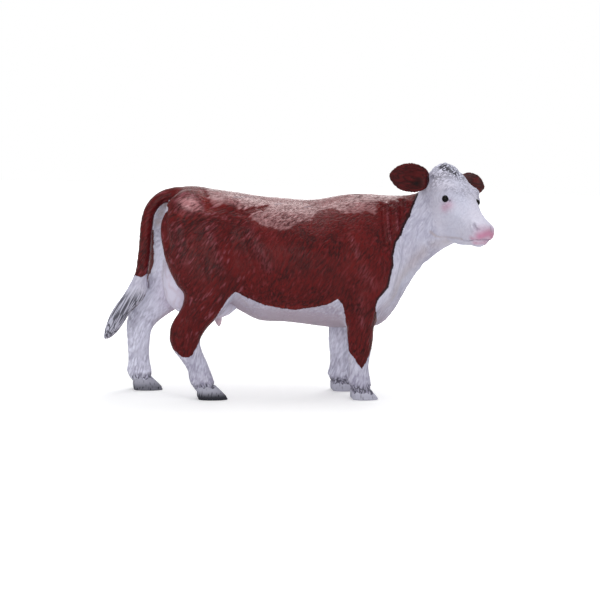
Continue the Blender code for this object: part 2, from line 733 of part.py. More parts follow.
def painted(name):
    kind = next(key for key in PAINTS if name.startswith(key))
    colour, roughness = PAINTS[kind]
    material = bpy.data.materials.new(name)
    material.use_nodes = True
    surface = material.node_tree.nodes["Principled BSDF"]
    surface.inputs["Base Color"].default_value = (*colour, 1)
    surface.inputs["Roughness"].default_value = roughness
    surface.inputs["Metallic"].default_value = 0
    return material


def show(name, mesh):
    mesh.shade_smooth()
    mesh.set_sharp_from_angle(angle=math.radians(40))
    mesh.materials.clear()
    mesh.materials.append(painted(name))
    obj = bpy.data.objects.new(name, mesh)
    bpy.context.scene.collection.objects.link(obj)


def centred(pieces):
    """Moves the figure so that the middle of its outline on the ground is the origin."""
    points = np.vstack([vectors_of(mesh.vertices, "co") for mesh in pieces.values()])
    middle = (points.min(axis=0) + points.max(axis=0)) / 2
    for mesh in pieces.values():
        mesh.transform(Matrix.Translation((-middle[0], -middle[1], 0)))


def main():
    for obj in list(bpy.data.objects):
        bpy.data.objects.remove(obj)
    pieces = {}
    body, pieces["tail"] = parted(sculpted(), *tail_seam())
    body, head = parted(body, *head_seam())
    for name in LIMB_SHARES:
        body, leg = parted(body, *leg_seam(name))
        pieces[name] = combined(leg, mesh_of(claw_skins(name)), "UNION")
    body = combined(body, mesh_of([udder_skin(SEAM_GAP)]), "DIFFERENCE")
    pieces["udder"] = combined(mesh_of([udder_skin()]), mesh_of(teat_skins()), "UNION")
    for name, side, droop, sweep in EARS:
        pieces[name] = mesh_of([ear_skin(side, droop, sweep)])
        socket = mesh_of([ear_skin(side, droop, sweep, SEAM_GAP)])
        head = combined(head, socket, "DIFFERENCE")
        body = combined(body, socket, "DIFFERENCE")
        eye = ball(head_place(), on_head(EYE_SHARE, side), (EYE_DIAMETER / 2,) * 3)
        head = combined(head, mesh_of([eye]), "UNION")
    pieces["head"] = largest_part(head)
    pieces["body"] = largest_part(body)
    for mesh in pieces.values():
        tidied(mesh)
    centred(pieces)
    for name, mesh in pieces.items():
        show(name, mesh)


main()
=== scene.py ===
import math
from contextlib import contextmanager

import bmesh
import bpy
import numpy as np
from mathutils import Matrix, Vector
from mathutils.bvhtree import BVHTree


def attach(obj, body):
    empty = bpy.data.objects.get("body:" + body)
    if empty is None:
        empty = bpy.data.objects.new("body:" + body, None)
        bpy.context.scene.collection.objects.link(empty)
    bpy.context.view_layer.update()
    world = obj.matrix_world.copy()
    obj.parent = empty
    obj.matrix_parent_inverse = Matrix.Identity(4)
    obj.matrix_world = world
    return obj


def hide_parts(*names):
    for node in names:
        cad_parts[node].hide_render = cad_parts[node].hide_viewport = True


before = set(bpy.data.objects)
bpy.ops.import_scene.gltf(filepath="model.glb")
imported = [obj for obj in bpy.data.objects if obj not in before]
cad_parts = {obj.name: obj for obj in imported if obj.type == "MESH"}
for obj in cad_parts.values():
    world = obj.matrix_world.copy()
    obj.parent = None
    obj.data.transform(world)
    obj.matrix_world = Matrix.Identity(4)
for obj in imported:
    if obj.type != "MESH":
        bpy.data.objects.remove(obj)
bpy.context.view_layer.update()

mm = 0.001

# The photograph's view. The near forehoof is where the figure and the picture are tied together:
# every place below is counted in millimetres from the figure's middle, which lies behind that hoof.
photoView = {
    "azimuth": -8.0,
    "elevation": 6.5,
    "roll": 1.5,
    "distance": 550.0,
    "pixel": 0.34,
    "imageSize": 600,
    "aim": (-1.23, 0.0, 32.0),
    "hoofFromMiddle": (20.32, -8.75),
}

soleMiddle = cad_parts["foreleg_right"].data.vertices
soleXs = [v.co.x for v in soleMiddle if v.co.z < 0.01 * mm]
soleYs = [v.co.y for v in soleMiddle if v.co.z < 0.01 * mm]
middle = Vector((
    (min(soleXs) + max(soleXs)) / 2 - photoView["hoofFromMiddle"][0] * mm,
    (min(soleYs) + max(soleYs)) / 2 - photoView["hoofFromMiddle"][1] * mm,
    0,
))


def viewAxes():  # right, up and backward of the photograph's camera
    a = math.radians(photoView["azimuth"])
    e = math.radians(photoView["elevation"])
    back = Vector((math.sin(a) * math.cos(e), -math.cos(a) * math.cos(e), math.sin(e)))
    right = Vector((math.cos(a), math.sin(a), 0))
    up = back.cross(right)
    return right, up, back


def cameraPlace():
    right, up, back = viewAxes()
    x, y, z = photoView["aim"]
    aim = middle + right * x * mm + Vector((0, y * mm, 0)) + up * z * mm
    return aim + back * photoView["distance"] * mm


def photoRay(px, py):  # where the camera looks through one pixel of the photograph
    right, up, back = viewAxes()
    roll = math.radians(photoView["roll"])
    across = (px - photoView["imageSize"] / 2) * photoView["pixel"]
    rise = (photoView["imageSize"] / 2 - py) * photoView["pixel"]
    u = across * math.cos(roll) - rise * math.sin(roll)
    v = across * math.sin(roll) + rise * math.cos(roll)
    return (right * u + up * v - back * photoView["distance"]).normalized()


def pixelsOf(points):  # where points, in millimetres from the middle, show in the photograph
    right, up, back = (np.array(axis) for axis in viewAxes())
    x, y, z = photoView["aim"]
    away = points - (right * x + np.array([0, y, 0]) + up * z)
    u, v, w = away @ right, away @ up, away @ back
    scale = photoView["distance"] / (photoView["distance"] - w) / photoView["pixel"]
    roll = math.radians(photoView["roll"])
    across = (u * math.cos(roll) + v * math.sin(roll)) * scale
    rise = (v * math.cos(roll) - u * math.sin(roll)) * scale
    half = photoView["imageSize"] / 2
    return np.stack([half + across, half - rise], axis=1)


def addCamera():
    data = bpy.data.cameras.new("photoCamera")
    data.lens = data.sensor_width * photoView["distance"] / (photoView["imageSize"] * photoView["pixel"])
    data.clip_start = 0.01
    camera = bpy.data.objects.new("photoCamera", data)
    bpy.context.scene.collection.objects.link(camera)
    right, up, back = viewAxes()
    facing = (-back).to_track_quat("-Z", "Y").to_matrix().to_4x4()
    rolled = facing @ Matrix.Rotation(math.radians(photoView["roll"]), 4, "Z")
    camera.matrix_world = Matrix.Translation(cameraPlace()) @ rolled
    bpy.context.scene.camera = camera


addCamera()
print("camera placed")


# Points and noise, worked on as whole arrays
def pointsOf(mesh):
    flat = np.empty(len(mesh.vertices) * 3, dtype=np.float32)
    mesh.vertices.foreach_get("co", flat)
    return flat.reshape(-1, 3).astype(float)


def normalsOf(mesh):
    flat = np.empty(len(mesh.vertices) * 3, dtype=np.float32)
    mesh.vertex_normals.foreach_get("vector", flat)
    return flat.reshape(-1, 3).astype(float)


def movePoints(mesh, points):
    mesh.vertices.foreach_set("co", points.astype(np.float32).ravel())
    mesh.update()


def meshFrom(points, faces, name="skin"):
    mesh = bpy.data.meshes.new(name)
    mesh.from_pydata([tuple(p) for p in points], [], faces)
    return mesh


@contextmanager
def editing(mesh):
    shaped = bmesh.new()
    shaped.from_mesh(mesh)
    yield shaped
    shaped.to_mesh(mesh)
    shaped.free()


def treeOf(mesh):
    return BVHTree.FromPolygons([v.co.copy() for v in mesh.vertices], [tuple(p.vertices) for p in mesh.polygons])


def setFact(mesh, label, values):  # a value per point, for the paint to read
    layer = mesh.attributes.new(label, "FLOAT", "POINT")
    layer.data.foreach_set("value", np.asarray(values, dtype=np.float32))


def withModifier(mesh, kind, **values):
    obj = bpy.data.objects.new("work", mesh)
    bpy.context.scene.collection.objects.link(obj)
    modifier = obj.modifiers.new("work", kind)
    for key, value in values.items():
        setattr(modifier, key, value)
    graph = bpy.context.evaluated_depsgraph_get()
    made = bpy.data.meshes.new_from_object(obj.evaluated_get(graph))
    bpy.data.objects.remove(obj)
    return made


def neighbourPull(points, edges):  # step from each point to the middle of its neighbours
    count = len(points)
    near, far = edges[:, 0], edges[:, 1]
    degree = np.bincount(near, minlength=count) + np.bincount(far, minlength=count)
    total = np.empty_like(points)
    for axis in range(3):
        total[:, axis] = np.bincount(near, weights=points[far, axis], minlength=count)
        total[:, axis] += np.bincount(far, weights=points[near, axis], minlength=count)
    return total / np.maximum(degree, 1)[:, None] - points


def edgesOf(mesh):
    flat = np.empty(len(mesh.edges) * 2, dtype=np.int32)
    mesh.edges.foreach_get("vertices", flat)
    return flat.reshape(-1, 2)


def smoothed(mesh, rounds, strength):  # strength may differ from point to point
    edges = edgesOf(mesh)
    points = pointsOf(mesh)
    for _ in range(rounds):
        points = points + neighbourPull(points, edges) * strength
    movePoints(mesh, points)
    return mesh


def gradientNoise(points, seed):  # about -0.7 to 0.7, smooth, the same on every run
    base = np.floor(points).astype(np.int64)
    inside = points - base
    fade = inside**3 * (inside * (inside * 6 - 15) + 10)
    total = np.zeros(len(points))
    for corner in range(8):
        step = np.array([corner & 1, corner >> 1 & 1, corner >> 2 & 1])
        at = base + step
        mixed = at[:, 0] * 374761393 + at[:, 1] * 668265263 + at[:, 2] * 1440662683 + seed * 974711
        mixed = (mixed ^ (mixed >> 13)) * 1274126177 & 0x7FFFFFFF
        mixed = mixed ^ (mixed >> 15)
        slope = np.stack([(mixed >> shift & 255) / 127.5 - 1 for shift in (0, 8, 16)], axis=1)
        share = np.prod(np.where(step == 1, fade, 1 - fade), axis=1)
        total += share * np.einsum("ij,ij->i", slope, inside - step)
    return total


def smoothStep(value, low, high):
    share = np.clip((value - low) / (high - low), 0, 1)
    return share * share * (3 - 2 * share)


def distanceToPath(points, path):
    path = np.array(path, float)
    if len(path) == 1:
        return np.linalg.norm(points - path[0], axis=1)
    nearest = np.full(len(points), np.inf)
    for start, end in zip(path[:-1], path[1:]):
        way = end - start
        share = np.clip((points - start) @ way / max(way @ way, 1e-12), 0, 1)
        away = np.linalg.norm(points - start - share[:, None] * way, axis=1)
        nearest = np.minimum(nearest, away)
    return nearest


def insideOutline(spots, outline):
    inside = np.zeros(len(spots), bool)
    x, z = spots[:, 0], spots[:, 1]
    for (ax, az), (bx, bz) in zip(outline, outline[1:] + outline[:1]):
        crosses = (az > z) != (bz > z)
        reach = ax + (z - az) * (bx - ax) / (bz - az if bz != az else 1e-12)
        inside ^= crosses & (x < reach)
    return inside


# The seams of the figure, in millimetres from its middle
seams = {
    "foreleg": 21.1,
    "hindLeg": 27.2,
    "tail": -46.4,
    "tailHalfWidth": 3.2,
    "head": (43.6, -4.55, 65.7),
    "headYaw": -30.0,
    "headPitch": -8.0,
    "headLowest": 40.0,
    "cutReach": 1.5,
}

# The pieces of the skin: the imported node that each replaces, and its paint slot
pieceLooks = {
    "cowBody": ("body", "body_paint"),
    "cowHead": ("head", "head_paint"),
    "cowTail": ("tail", "tail_paint"),
    "foreLegRight": ("foreleg_right", "leg_paint"),
    "foreLegLeft": ("foreleg_left", "leg_paint"),
    "hindLegRight": ("hind_leg_right", "leg_paint"),
    "hindLegLeft": ("hind_leg_left", "leg_paint"),
}

# How finely the skin is made, in millimetres and rounds
skinMaking = {
    "cell": 0.34,
    "swell": 0.2,
    "weld": 0.002,
    "rounds": 12,
    "strength": 0.6,
    "hoofRounds": 4,
    "hoofTop": 4.6,
    "fineBelow": 8.8,
    "fineRounds": 3,
}


def figurePoints(points):  # from metres in the frame to millimetres from the figure's middle
    return (points - np.array(middle)) / mm


def headPart(points):
    x, y, z = seams["head"]
    turn = (
        Matrix.Rotation(math.radians(seams["headYaw"]), 3, "Z")
        @ Matrix.Rotation(math.radians(seams["headPitch"]), 3, "Y")
    )
    way = np.array(turn @ Vector((1, 0, 0)))
    return (points - np.array([x, y, z])) @ way, way


def wholeSkin():
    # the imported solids, swollen by a hair so that they close their own seams, become one fine skin
    points, faces = [], []
    for node, _ in pieceLooks.values():
        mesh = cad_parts[node].data
        swollen = pointsOf(mesh) + normalsOf(mesh) * skinMaking["swell"] * mm
        base = sum(len(p) for p in points)
        points.append(swollen)
        faces += [tuple(i + base for i in face.vertices) for face in mesh.polygons]
    joined = meshFrom(np.vstack(points), faces)
    with editing(joined) as shaped:
        bmesh.ops.remove_doubles(shaped, verts=shaped.verts, dist=skinMaking["weld"] * mm)
    skin = withModifier(joined, "REMESH", mode="VOXEL", voxel_size=skinMaking["cell"] * mm)
    skin = outerBody(skin)
    height = figurePoints(pointsOf(skin))[:, 2]
    soft = np.where(height < skinMaking["hoofTop"], skinMaking["hoofRounds"] / skinMaking["rounds"], 1.0)
    skin = smoothed(skin, skinMaking["rounds"], skinMaking["strength"] * soft[:, None])
    movePoints(skin, pointsOf(skin) - normalsOf(skin) * skinMaking["swell"] * mm)
    return skin


def outerBody(mesh):  # drops the bubbles that closed pegs leave inside
    count = len(mesh.vertices)
    edges = edgesOf(mesh)
    label = np.arange(count)
    while True:
        low = np.minimum(label[edges[:, 0]], label[edges[:, 1]])
        fresh = label.copy()
        np.minimum.at(fresh, edges[:, 0], low)
        np.minimum.at(fresh, edges[:, 1], low)
        fresh = fresh[fresh]
        if (fresh == label).all():
            break
        label = fresh
    values, sizes = np.unique(label, return_counts=True)
    keep = label == values[sizes.argmax()]
    with editing(mesh) as shaped:
        shaped.verts.ensure_lookup_table()
        drop = [shaped.verts[i] for i in np.nonzero(~keep)[0]]
        bmesh.ops.delete(shaped, geom=drop, context="VERTS")
    return mesh


def refined(mesh):  # quarters the faces of the head, the tail's end and the feet
    points = figurePoints(pointsOf(mesh))
    x, y, z = points.T
    beyond, _ = headPart(points)
    fine = (beyond > -2) & (z > seams["headLowest"])
    fine |= (x < seams["tail"]) & (np.abs(y) < seams["tailHalfWidth"]) & (z > 16) & (z < 44)
    fine |= z < skinMaking["fineBelow"]
    with editing(mesh) as shaped:
        edges = [edge for edge in shaped.edges if fine[edge.verts[0].index] and fine[edge.verts[1].index]]
        bmesh.ops.subdivide_edges(shaped, edges=edges, cuts=1, use_grid_fill=True)
    points = figurePoints(pointsOf(mesh))
    beyond, _ = headPart(points)
    soft = (beyond > 0) & (points[:, 2] > seams["headLowest"])
    return smoothed(mesh, skinMaking["fineRounds"], 0.5 * np.maximum(soft, 0.3)[:, None])


skin = refined(wholeSkin())
print("skin made:", len(skin.vertices), "points")

skinTree = treeOf(skin)


def onSkin(px, py):  # the place on the skin that one pixel of the photograph shows
    hit, _, _, _ = skinTree.ray_cast(cameraPlace(), photoRay(px, py))
    return None if hit is None else Vector((hit - middle) / mm)


def onSidePlane(px, py, depth):  # (length, height) where that pixel meets the plane y = depth
    start = (cameraPlace() - middle) / mm
    way = photoRay(px, py)
    reach = (depth - start.y) / way.y
    spot = start + way * reach
    return spot.x, spot.z


# The head's own frame, for what has a twin on its far side
headPose = {
    "poll": (47.6, -5.25, 78.0),
    "yaw": -60.0,
    "pitch": 42.0,
    "roll": -6.0,
    "length": 29.0,
    "eyePixel": (444.6, 199.1),
    "farEyePixel": (477.9, 202.3),
}


def headFrame():
    turn = (
        Matrix.Rotation(math.radians(headPose["yaw"]), 4, "Z")
        @ Matrix.Rotation(math.radians(headPose["pitch"]), 4, "Y")
        @ Matrix.Rotation(math.radians(headPose["roll"]), 4, "X")
    )
    return Matrix.Translation(headPose["poll"]) @ turn


def headTwin(spot):
    inHead = headFrame().inverted() @ spot
    inHead.y = -inHead.y
    return headFrame() @ inHead


def sideTwin(spot):
    return Vector((spot.x, -spot.y, spot.z))


# Relief drawn along lines of the photograph: radius and height in millimetres, then pixels
headRelief = {
    "eye socket": (1.15, -0.30, ((444.9, 199),)),
    "upper lid": (0.34, 0.30, ((440.6, 199.4), (441.6, 196.2), (444.6, 194.6), (447.8, 195.8), (449.2, 198.8))),
    "lower lid": (0.34, 0.24, ((441, 201.2), (443.2, 203.4), (446.2, 203.4), (448.6, 201.6))),
    "lid crease": (0.45, -0.14, ((437.6, 196.6), (440.4, 192.4), (445, 191), (450, 192.6))),
    "tear duct": (0.30, -0.26, ((449.2, 200.4), (450.2, 201.6))),
    "brow": (1.60, 0.22, ((440, 189), (449, 188))),
    "cheek": (5.00, 0.30, ((431, 217),)),
    "face crest": (1.50, 0.24, ((450, 211), (461, 219))),
    "mouth": (0.26, -0.42, ((462, 240.6), (467, 240.8), (474.8, 240), (483, 239.4), (489, 240.6))),
    "upper lip": (0.60, 0.14, ((472, 236.8), (480, 236.2), (487, 237))),
    "lower lip": (0.70, 0.18, ((471, 243.2), (478, 243.6), (484, 242.6))),
    "jaw edge": (0.70, -0.34, (
        (430.6, 232), (436, 236.6), (441, 237.6), (445.6, 237.8), (450.3, 237.9), (455, 238.4), (459.7, 238.8),
    )),
    "jaw swell": (1.50, 0.18, ((436, 232), (448, 233.4))),
}
muzzleRelief = {
    "nostril": (0.40, -0.70, ((473.6, 224.2), (474.4, 226.6), (476, 228.8), (478.6, 229.6))),
    "nostril rim": (0.60, 0.26, ((475.6, 222.4), (479.4, 224.6), (482, 228))),
    "nose wing": (0.70, 0.22, ((471.6, 222.6), (471.6, 227), (474.4, 231.2))),
    "far nostril": (0.50, -0.50, ((491.4, 228), (491.8, 230.4))),
}
bodyRelief = {
    "pin bone": (3.30, 0.95, ((186, 204.4), (193, 207.4))),
    "pin valley": (1.10, -0.34, ((203, 190.6), (206.4, 198), (210, 206.6))),
    "loin edge": (1.10, -0.22, ((211, 208.4), (224, 208.6), (240, 212.6), (250, 218))),
    "loin spur": (0.60, -0.24, ((246, 211), (256, 208.6), (269, 206.6))),
    "pin crest": (0.50, 0.24, ((184, 217), (193.3, 213.8), (209, 214.2))),
    "under pin": (1.10, -0.24, ((172, 219.4), (186, 219.4), (206, 218))),
    "thigh ridge": (1.40, 0.34, ((204.6, 224), (209.6, 234), (214.6, 246), (218, 258), (220, 268))),
    "thigh rear": (2.20, 0.22, ((178, 228), (179, 246), (184, 262))),
    "thigh hollow": (2.20, -0.20, ((192, 226), (198, 244), (206, 262))),
    "flank groove": (1.80, -0.30, ((228, 218), (231, 238), (236, 258))),
    "flank ridge": (1.60, 0.30, ((249, 231), (254.6, 244), (261.6, 256), (268, 268))),
    "flank line": (0.60, -0.24, ((243, 234), (247, 250), (254, 266))),
    "flank fold": (0.80, -0.26, ((238, 272), (231, 288), (221, 302))),
    "shoulder panel": (1.60, 0.24, ((363, 270), (368, 278), (373, 286))),
    "shoulder ridge": (0.90, 0.22, ((350, 236), (356, 248), (360, 258))),
    "shoulder groove": (0.90, -0.20, ((345, 252), (346, 268), (349, 284))),
    "fold one": (0.75, -0.42, ((383, 206), (383.4, 222), (386, 240))),
    "ridge one": (0.55, 0.44, ((386.8, 204), (387.4, 218), (388.4, 230), (389.8, 240))),
    "fold two": (0.65, -0.44, ((392.2, 203), (392.4, 220), (393, 234))),
    "ridge two": (0.50, 0.38, ((396.2, 202), (396.6, 216), (397.6, 230))),
    "fold three": (0.60, -0.34, ((401, 200), (401.4, 212), (401, 224))),
    "ridge three": (0.50, 0.28, ((405, 199), (405.6, 212))),
    "bib fold": (0.90, -0.46, ((410, 226), (404, 250), (399, 276), (392, 296))),
    "bib ridge": (1.00, 0.36, ((403.6, 240), (399.6, 262), (391, 290))),
    "bib ridge two": (1.10, 0.38, ((416, 228), (412, 250), (405, 274))),
    "bib side": (0.90, -0.40, ((421, 226), (417, 246), (411, 264))),
    "throat": (0.60, -0.20, ((426, 238), (433, 245))),
    "throat low": (0.60, -0.18, ((421, 245), (428, 252))),
    "throat line": (0.55, -0.16, ((438, 241), (430, 248), (421, 257))),
    "elbow": (0.90, -0.26, ((346, 286), (350, 300), (349, 312))),
    "forearm": (1.20, 0.20, ((361, 300), (362, 326))),
}
legRelief = {
    "thigh edge": (2.80, -1.60, ((163.4, 214), (163, 230), (165.4, 246))),
    "knee": (1.20, 0.22, ((366, 343),)),
    "knee under": (0.60, -0.18, ((352, 352), (366, 352))),
    "shin": (0.50, -0.18, ((356, 356), (359, 376))),
    "hock": (1.00, 0.24, ((174, 338),)),
    "hock cord": (0.60, -0.24, ((180, 328), (184, 350))),
    "hock cord two": (0.60, 0.20, ((186, 322), (190, 346))),
    "gaskin": (1.20, 0.20, ((193, 306), (189, 326))),
    "cannon": (0.50, -0.18, ((190, 358), (202, 378))),
    "navel": (1.60, 0.24, ((262, 317), (282, 320))),
    "far cannon": (0.45, -0.18, ((139, 340), (139, 366))),
    "far cord": (0.60, 0.22, ((136, 330), (135, 364))),
    "far hock": (1.10, 0.20, ((134, 322),)),
    "dewclaw": (0.85, 0.90, ((195.4, 384), (198, 389))),
    "far dewclaw": (0.80, 0.80, ((131, 371), (132.4, 376))),
}


# The throat's lower outline, in pixels: the skin comes up to it
throatLine = ((420, 266), (424, 262.8), (428, 260), (435.2, 254.2), (443.3, 248.3), (452.7, 243.1), (458, 243))


def raisedThroat(points):
    spots = pixelsOf(points)
    excess = spots[:, 1] - np.interp(spots[:, 0], *zip(*throatLine))
    near = smoothStep(spots[:, 0], throatLine[0][0], throatLine[1][0])
    near *= smoothStep(throatLine[-1][0] - spots[:, 0], 0, 3) * (points[:, 2] > seams["headLowest"])
    raised = points.copy()
    raised[:, 2] += np.clip(excess, 0, 12) * smoothStep(excess, -0.5, 2.5) * near * photoView["pixel"]
    return raised


def pathOnSkin(pixels, twin=None):
    spots = [spot for spot in (onSkin(*pixel) for pixel in pixels) if spot is not None]
    return np.array([twin(spot) if twin else spot for spot in spots], float).reshape(-1, 3)


def alongPath(points, path, radius):  # 1 on the line, falling to nothing beside it
    mask = np.zeros(len(points))
    if len(path):
        reach = 2.6 * radius
        near = np.all((points > path.min(axis=0) - reach) & (points < path.max(axis=0) + reach), axis=1)
        mask[near] = np.exp(-((distanceToPath(points[near], path) / radius) ** 2))
    return mask


def reliefHeight(points, relief, twin=None):
    rise = np.zeros(len(points))
    for radius, height, pixels in relief.values():
        rise += height * alongPath(points, pathOnSkin(pixels), radius)
        if twin:
            rise += height * alongPath(points, pathOnSkin(pixels, twin), radius)
    return rise


# Moulded hair: grooves that follow the lie of the coat, in millimetres and degrees
coatHair = {
    "angles": (20.0, 38.0, 56.0, 74.0, 92.0),
    "spacing": 0.95,
    "length": 4.4,
    "grooveShare": 0.15,
    "depth": 0.120,
    "fineSpacing": 0.72,
    "fineLength": 2.4,
    "fineDepth": 0.085,
    "fineShare": 0.14,
    "backDepth": 0.55,
    "patchSize": 9,
    "patch": (0.62, 0.9),
}
# Curls on the poll and brow; places along the head are shares of its length
headHair = {
    "pollEnd": 0.30,
    "pollFade": 0.20,
    "browAt": 0.36,
    "browWidth": 0.13,
    "curlSpacing": 0.74,
    "curlLength": 2.2,
    "curlDepth": 0.26,
    "curlShare": 0.20,
    "browCurls": 0.35,
    "bendSize": 3.0,
    "bend": 1.1,
    "lumpSize": (2.6, 1.6, 1.6),
    "lift": (0.30, 0.5),
    "faceShare": 0.10,
    "faceDepth": 0.035,
    "tuftLeast": 0.42,
    "tuftRadius": 3.5,
    "tuft": ((446, 168), (454, 171), (461, 178)),
}
switchHair = {
    "top": 38,
    "sweep": (-0.46, 0, -0.89),
    "spacing": 0.52,
    "length": 14.0,
    "share": 0.16,
    "depth": 0.24,
    "lift": 0.10,
}
# Where the hooves start, with the fringe of hair above them: forefeet first, then hind feet
feet = {
    "hoofLine": (2.5, 4.1),
    "ragged": 1.3,
    "raggedSize": (1.1, 1.1, 9),
    "hoofEdge": 0.35,
    "fringeReach": (3.4, 2.4),
    "fringeFade": 1.8,
    "fringeDepth": 0.24,
    "fringeLift": 0.22,
    "tuftSize": (0.62, 0.62, 2.0),
    "tuftShare": 0.22,
    "ringTurns": 9.5,
    "ringDepth": 0.035,
}
farThighShift = 0.75  # millimetres rearward


def lieOfCoat(points):  # degrees below the horizontal, from the head towards the tail
    x, z = points[:, 0], points[:, 2]
    angle = 30 + 34 * smoothStep(62 - z, 0, 14)
    angle += 12 * smoothStep(30 - z, 0, 14)
    angle += 22 * smoothStep(x, 18, 34) + 10 * np.exp(-(((x + 14) / 9) ** 2))
    angle += 14 * gradientNoise(points / 9, 3)
    return np.clip(angle, coatHair["angles"][0], coatHair["angles"][-1])


def strokeNoise(points, angle, spacing, length, seed):
    total = np.zeros(len(points))
    step = coatHair["angles"][1] - coatHair["angles"][0]
    for number, lie in enumerate(coatHair["angles"]):
        weight = np.clip(1 - np.abs(angle - lie) / step, 0, 1)
        chosen = weight > 0
        way = np.array([-math.cos(math.radians(lie)), 0, -math.sin(math.radians(lie))])
        spots = points[chosen] / spacing
        along = spots @ way
        spots = spots - np.outer(along, way) * (1 - spacing / length)
        total[chosen] += weight[chosen] * gradientNoise(spots + number * 17.3, seed)
    return total


def grooves(noise, share):
    return np.exp(-((noise / share) ** 2))


def sculptSkin(mesh):
    movePoints(mesh, raisedThroat(figurePoints(pointsOf(mesh))) * mm + np.array(middle))
    points = figurePoints(pointsOf(mesh))
    normals = normalsOf(mesh)
    x, y, z = points.T
    beyondHead, _ = headPart(points)
    head = smoothStep(beyondHead, -2, 3) * (z > seams["headLowest"])
    inHead = np.array(headFrame().inverted())
    local = points @ inHead[:3, :3].T + inHead[:3, 3]
    along = local[:, 0] / headPose["length"]
    poll = head * smoothStep(headHair["pollEnd"] - along, 0, headHair["pollFade"]) * smoothStep(local[:, 2], -8, -4)
    tuft = alongPath(points, pathOnSkin(headHair["tuft"]), headHair["tuftRadius"])
    tuft = np.maximum(tuft, headHair["tuftLeast"])
    brow = head * np.exp(-(((along - headHair["browAt"]) / headHair["browWidth"]) ** 2))
    brow = brow * smoothStep(local[:, 2], -3.5, -1)
    tail = (x < seams["tail"]) & (np.abs(y) < seams["tailHalfWidth"]) & (z > 16)
    switch = tail * smoothStep(switchHair["top"] - z, 0, 3)
    line = np.where(x > 0, *feet["hoofLine"])
    line += feet["ragged"] * gradientNoise(points / np.array(feet["raggedSize"]), 85)
    hoof = smoothStep(line - z, 0, feet["hoofEdge"])
    lowShin = smoothStep(line + np.where(x > 0, *feet["fringeReach"]) - z, 0, feet["fringeFade"])
    fringe = lowShin * (1 - hoof)

    body = reliefHeight(points, bodyRelief, sideTwin)
    rise = body + reliefHeight(points, legRelief) + reliefHeight(points, muzzleRelief)
    rise += reliefHeight(points, headRelief, headTwin)

    lie = lieOfCoat(points)
    strokes = strokeNoise(points, lie, coatHair["spacing"], coatHair["length"], 11)
    hair = grooves(strokes, coatHair["grooveShare"])
    fine = strokeNoise(points, lie, coatHair["fineSpacing"], coatHair["fineLength"], 29)
    fine = grooves(fine, coatHair["fineShare"])
    base, swing = coatHair["patch"]
    patch = np.clip(base + swing * gradientNoise(points / coatHair["patchSize"], 41), 0.2, 1.0)
    top = 1 - (1 - coatHair["backDepth"]) * smoothStep(normals[:, 2], 0.25, 0.7) * smoothStep(z, 52, 58)
    coat = (1 - head) * (1 - hoof) * (1 - switch) * patch * top
    cut = coat * (hair * coatHair["depth"] + fine * coatHair["fineDepth"])

    bend = np.stack([gradientNoise(local / headHair["bendSize"], seed) for seed in (51, 52, 53)], axis=1)
    bend = bend * headHair["bend"]
    curled = (local + bend) / headHair["curlSpacing"]
    curled[:, 2] *= headHair["curlSpacing"] / headHair["curlLength"]
    curls = grooves(gradientNoise(curled, 61), headHair["curlShare"])
    lumps = gradientNoise((local + bend) / np.array(headHair["lumpSize"]), 63)
    cut += (poll + headHair["browCurls"] * brow) * curls * headHair["curlDepth"]
    face = grooves(gradientNoise(curled * 0.8, 67), headHair["faceShare"])
    cut += head * (1 - poll) * face * headHair["faceDepth"]

    sweep = np.array(switchHair["sweep"])
    spots = points / switchHair["spacing"]
    spots = spots - np.outer(spots @ sweep, sweep) * (1 - switchHair["spacing"] / switchHair["length"])
    strands = grooves(gradientNoise(spots, 71), switchHair["share"])
    cut += switch * strands * switchHair["depth"]
    tufts = gradientNoise((points + 0.6 * bend) / np.array(feet["tuftSize"]), 81)
    tufts = grooves(tufts, feet["tuftShare"])
    cut += fringe * tufts * feet["fringeDepth"]
    rings = 0.5 + 0.5 * np.sin(z * feet["ringTurns"] + 2.4 * gradientNoise(points / 2.2, 83))
    cut += hoof * (1 - np.abs(normals[:, 2])) * rings * feet["ringDepth"]

    base, swing = headHair["lift"]
    lift = poll * (base + swing * lumps) + fringe * feet["fringeLift"] + switch * switchHair["lift"]
    settle = (z > 0.25) | (normals[:, 2] > -0.5)
    step = (rise + lift - cut) * settle
    moved = points + step[:, None] * normals
    rearward = smoothStep(-normals[:, 0], 0.1, 0.6) * smoothStep(z, 34, 40) * smoothStep(62 - z, 0, 5)
    moved[:, 0] -= farThighShift * rearward * smoothStep(y, 4, 6) * (x < -40)
    moved[:, 2] = np.maximum(moved[:, 2], 0)
    movePoints(mesh, moved * mm + np.array(middle))

    thin = smoothStep(gradientNoise(local / 2.2, 65), -0.30, 0.20)
    return {
        "cavity": cut * (1 - switch) * (1 - poll) * (1 - hoof),
        "ridge": np.clip(body, 0, 0.3) / 0.3,
        "strokes": smoothStep(strokes, 0.10, 0.30) * (1 - head) * (1 - hoof),
        "strokeNoise": strokes,
        "curl": np.clip(poll * tuft * (0.92 + 0.46 * thin) + brow * 0.30 * thin, 0, 1) * smoothStep(curls, 0.30, 0.70),
        "strand": switch * (0.20 + 0.80 * smoothStep(strands, 0.25, 0.75)) * smoothStep(37 - z, 0, 6),
        "hoof": hoof,
        "fringe": fringe * (0.12 + 0.70 * smoothStep(tufts, 0.4, 0.9)) * lowShin,
        "head": head,
    }


facts = sculptSkin(skin)
print("hair, folds and face carved")

